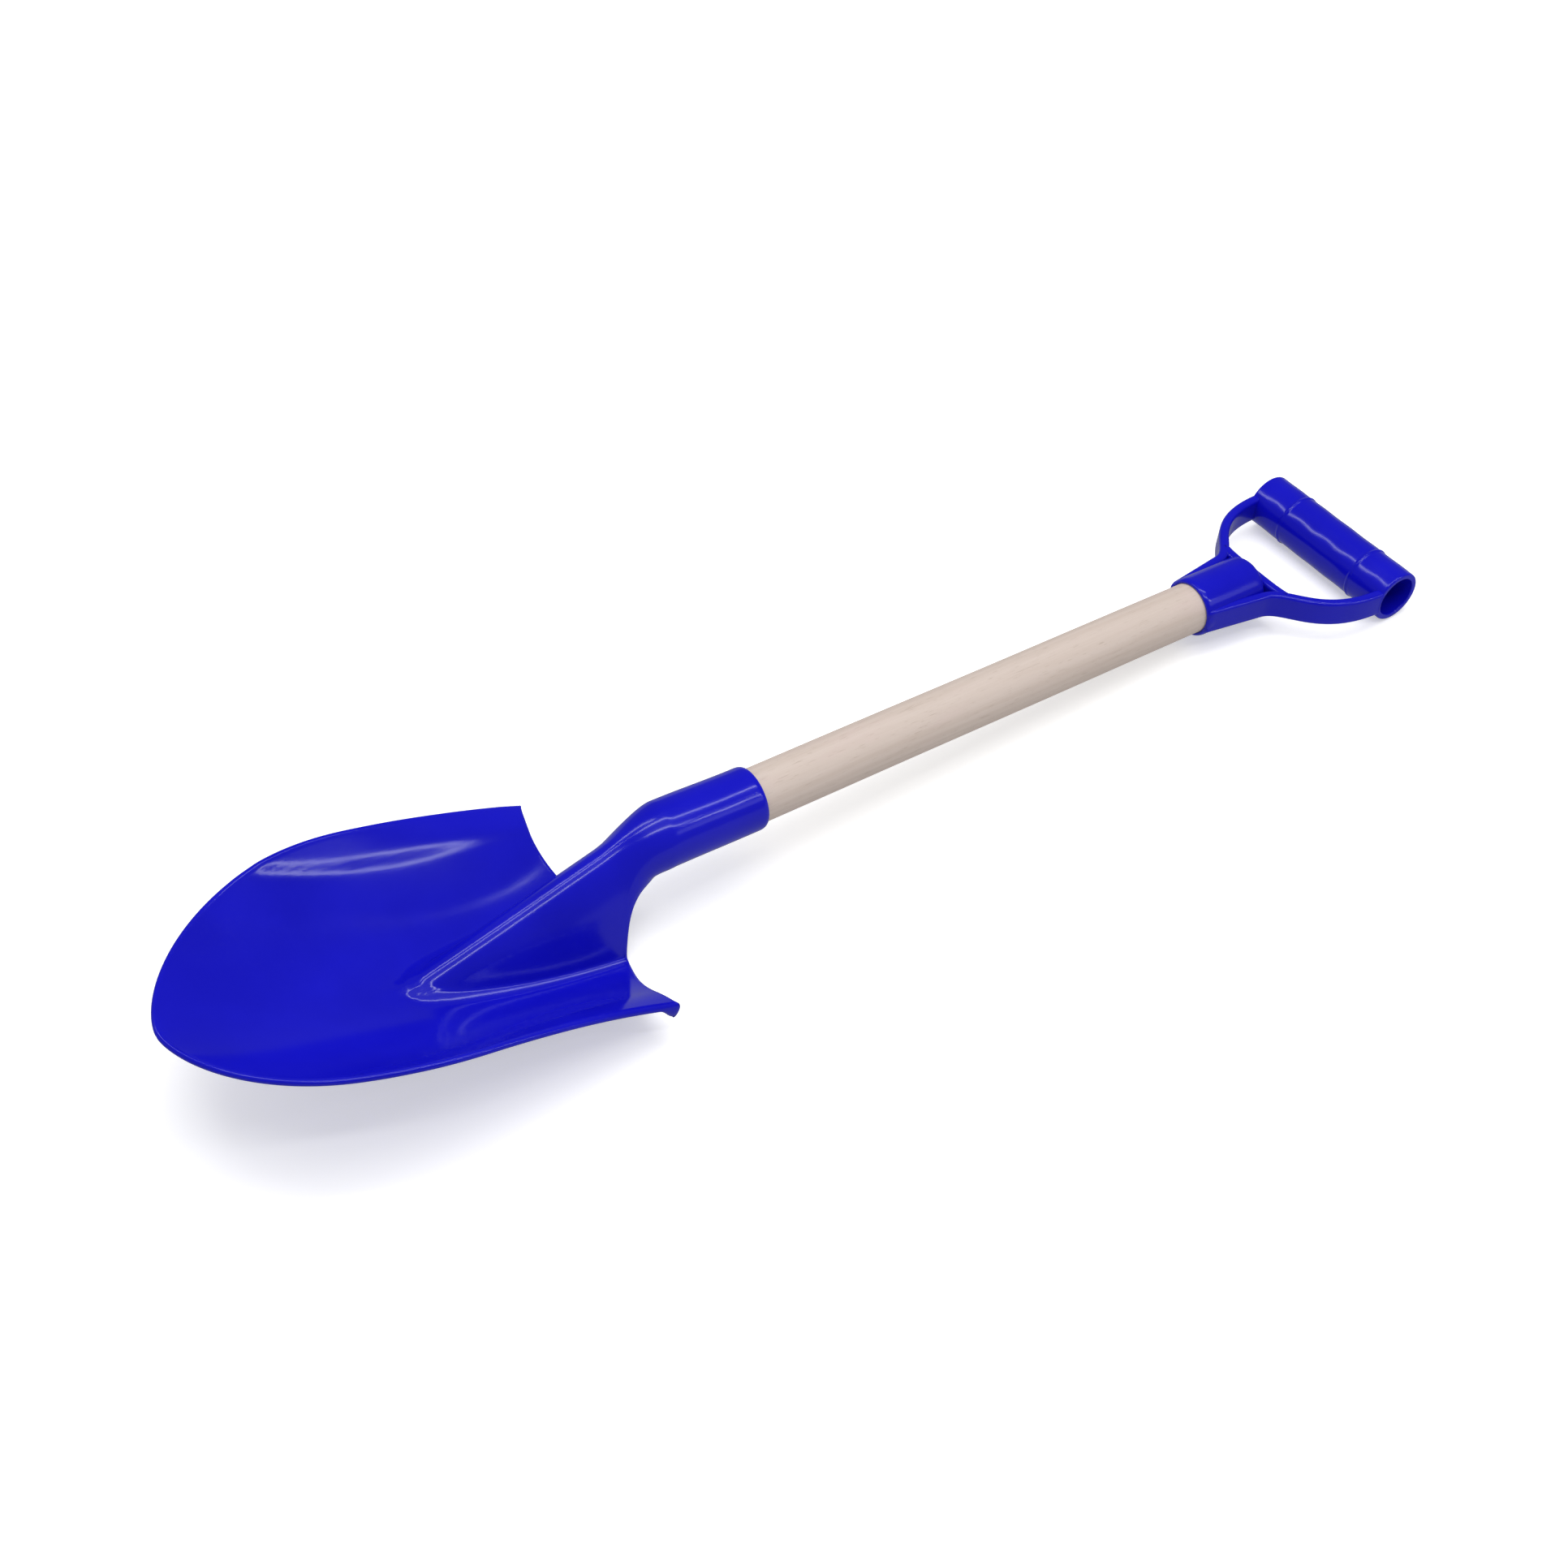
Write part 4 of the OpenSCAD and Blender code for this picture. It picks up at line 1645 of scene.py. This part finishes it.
@dataclass(frozen=True)
class Lamp:
    """A rectangular lamp that faces a point, or else straight down.

    One that isn't mirrored lights without a reflection of its own.
    """

    name: str
    at: Triple
    size: tuple[float, float]
    power: float
    spin: float = 0.0
    aim: Triple | None = None
    mirrored: bool = True

    def build(self) -> None:
        """Adds the lamp to the scene."""
        data = bpy.data.lights.new(self.name, "AREA")
        data.shape = "RECTANGLE"
        data.size, data.size_y = self.size
        data.energy = self.power
        lamp = bpy.data.objects.new(self.name, data)
        lamp.visible_glossy = self.mirrored
        stand(lamp, self.at, self.aim or (*self.at[:2], 0.0), self.spin)


@dataclass(frozen=True)
class Studio:
    """Floor, air, lamps and the camera that stands where the photograph's did."""

    eye: Triple = (-0.32823, -0.44217, 0.59393)
    aim: Triple = (-0.01071, 0.02286, 0.0)
    roll: float = math.radians(0.44)
    lens: float = 48.45
    lamps: tuple[Lamp, ...] = (
        Lamp("tube_near", (0.12, -0.65, 1.32), (1.45, 0.1), 3.4, -0.40),
        Lamp("tube_far", (0.2, 0.016, 1.38), (1.63, 0.11), 3.4, -0.40),
        Lamp("tube_end", (1.3, -1.33, 1.3), (0.95, 0.11), 2.8, -0.40),
        Lamp("diffuser", (0.1, -0.38, 1.42), (1.5, 0.56), 0.6, -0.40),
        Lamp("outer_panel", (1.3, -1.75, 1.1), (1.2, 0.5), 1.3, -0.40, (-0.1, 0.0, 0.0)),
        Lamp("side_strip", (-0.38, 0.61, 0.97), (0.08, 0.7), 1.0, 0.0, (0.25, 0.0, 0.0)),
        Lamp("overhead", (0.1, 0.1, 1.5), (1.3, 1.3), 12.4, mirrored=False),
    )
    # The air's strength in plain light, in reflections and to the camera
    air_plain: float = 0.5
    air_mirrored: float = 0.14
    air_seen: float = 1.0
    # The floor: half its side, its height, its grey, and its glow to the camera and mirrored
    floor_half: float = 4.0
    floor_z: float = -0.0002
    floor_grey: float = 0.78
    floor_glow: float = 0.45
    floor_mirrored: float = 0.3

    def camera(self) -> None:
        """Adds the camera, whose view is as wide as the photograph's."""
        data = bpy.data.cameras.new("photo_camera")
        data.sensor_width = 36.0
        data.lens = self.lens
        data.clip_start = 0.01
        camera = bpy.data.objects.new("photo_camera", data)
        stand(camera, self.eye, self.aim, self.roll)
        bpy.context.scene.camera = camera

    def air(self) -> None:
        """Sets the world: plain pale light, and white where the camera sees it."""
        world = bpy.data.worlds.new("studio_air")
        world.use_nodes = True
        tree = world.node_tree
        tree.nodes.clear()
        path = tree.nodes.new("ShaderNodeLightPath")
        out = tree.nodes.new("ShaderNodeOutputWorld")
        last = tree.nodes.new("ShaderNodeBackground")
        last.inputs["Strength"].default_value = self.air_plain
        rays = (("Is Glossy Ray", self.air_mirrored), ("Is Camera Ray", self.air_seen))
        for ray, strength in rays:
            glow = tree.nodes.new("ShaderNodeBackground")
            glow.inputs["Strength"].default_value = strength
            blend = tree.nodes.new("ShaderNodeMixShader")
            tree.links.new(path.outputs[ray], blend.inputs[0])
            tree.links.new(last.outputs[0], blend.inputs[1])
            tree.links.new(glow.outputs[0], blend.inputs[2])
            last = blend
        tree.links.new(last.outputs[0], out.inputs["Surface"])
        bpy.context.scene.world = world

    def floor(self) -> None:
        """Adds the pale floor, which looks white to the camera and keeps the shadow."""
        mesh = bpy.data.meshes.new("studio_floor")
        half, z = self.floor_half, self.floor_z
        corners = [(-half, -half, z), (half, -half, z), (half, half, z), (-half, half, z)]
        mesh.from_pydata(corners, [], [(0, 1, 2, 3)])
        floor = bpy.data.objects.new("studio_floor", mesh)
        bpy.context.scene.collection.objects.link(floor)
        s = Shader("studio_floor")
        grey, white = (self.floor_grey,) * 3, (1.0, 1.0, 1.0, 1.0)
        s.set(Base_Color=grey, Roughness=0.9, Specular_IOR_Level=0.0)
        plain_face = s.surface.outputs[0]
        glow, dim = (
            s.node("ShaderNodeEmission", {}, {"Color": white, "Strength": v}).outputs[0]
            for v in (self.floor_glow, self.floor_mirrored)
        )
        ray = s.node("ShaderNodeLightPath").outputs
        bright = s.node("ShaderNodeAddShader", {}, {0: plain_face, 1: glow}).outputs[0]
        lit = s.node("ShaderNodeMixShader", {}, {0: ray["Is Glossy Ray"], 1: plain_face, 2: dim})
        sight = s.node(
            "ShaderNodeMixShader", {}, {0: ray["Is Camera Ray"], 1: lit.outputs[0], 2: bright}
        )
        s.link(sight.outputs[0], s.output.inputs["Surface"])
        mesh.materials.append(s.material)

    def build(self) -> None:
        """Adds everything that isn't the shovel."""
        self.camera()
        self.air()
        self.floor()
        for lamp in self.lamps:
            lamp.build()
        bpy.context.scene.view_settings.view_transform = "Standard"


def main() -> None:
    logging.basicConfig(level=logging.INFO, format="%(name)s %(message)s")
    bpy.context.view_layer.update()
    shaft = Shaft.of_record(frame["record"])
    Studio().build()
    plastic, steel = GlossPlastic().make(), ZincSteel().make()
    Blade().make(shaft, plastic)
    Grip().make(shaft, plastic)
    Dowel().make(shaft)
    screws = (
        Screw("blade_socket_screw", "blade_screw", "blade", x=-12.0, socket_r=12.21),
        Screw("grip_socket_screw", "grip_screw", "grip", x=231.35, socket_r=12.4),
    )
    for screw in screws:
        screw.make(shaft, steel, plastic)


if __name__ == "__main__":
    main()
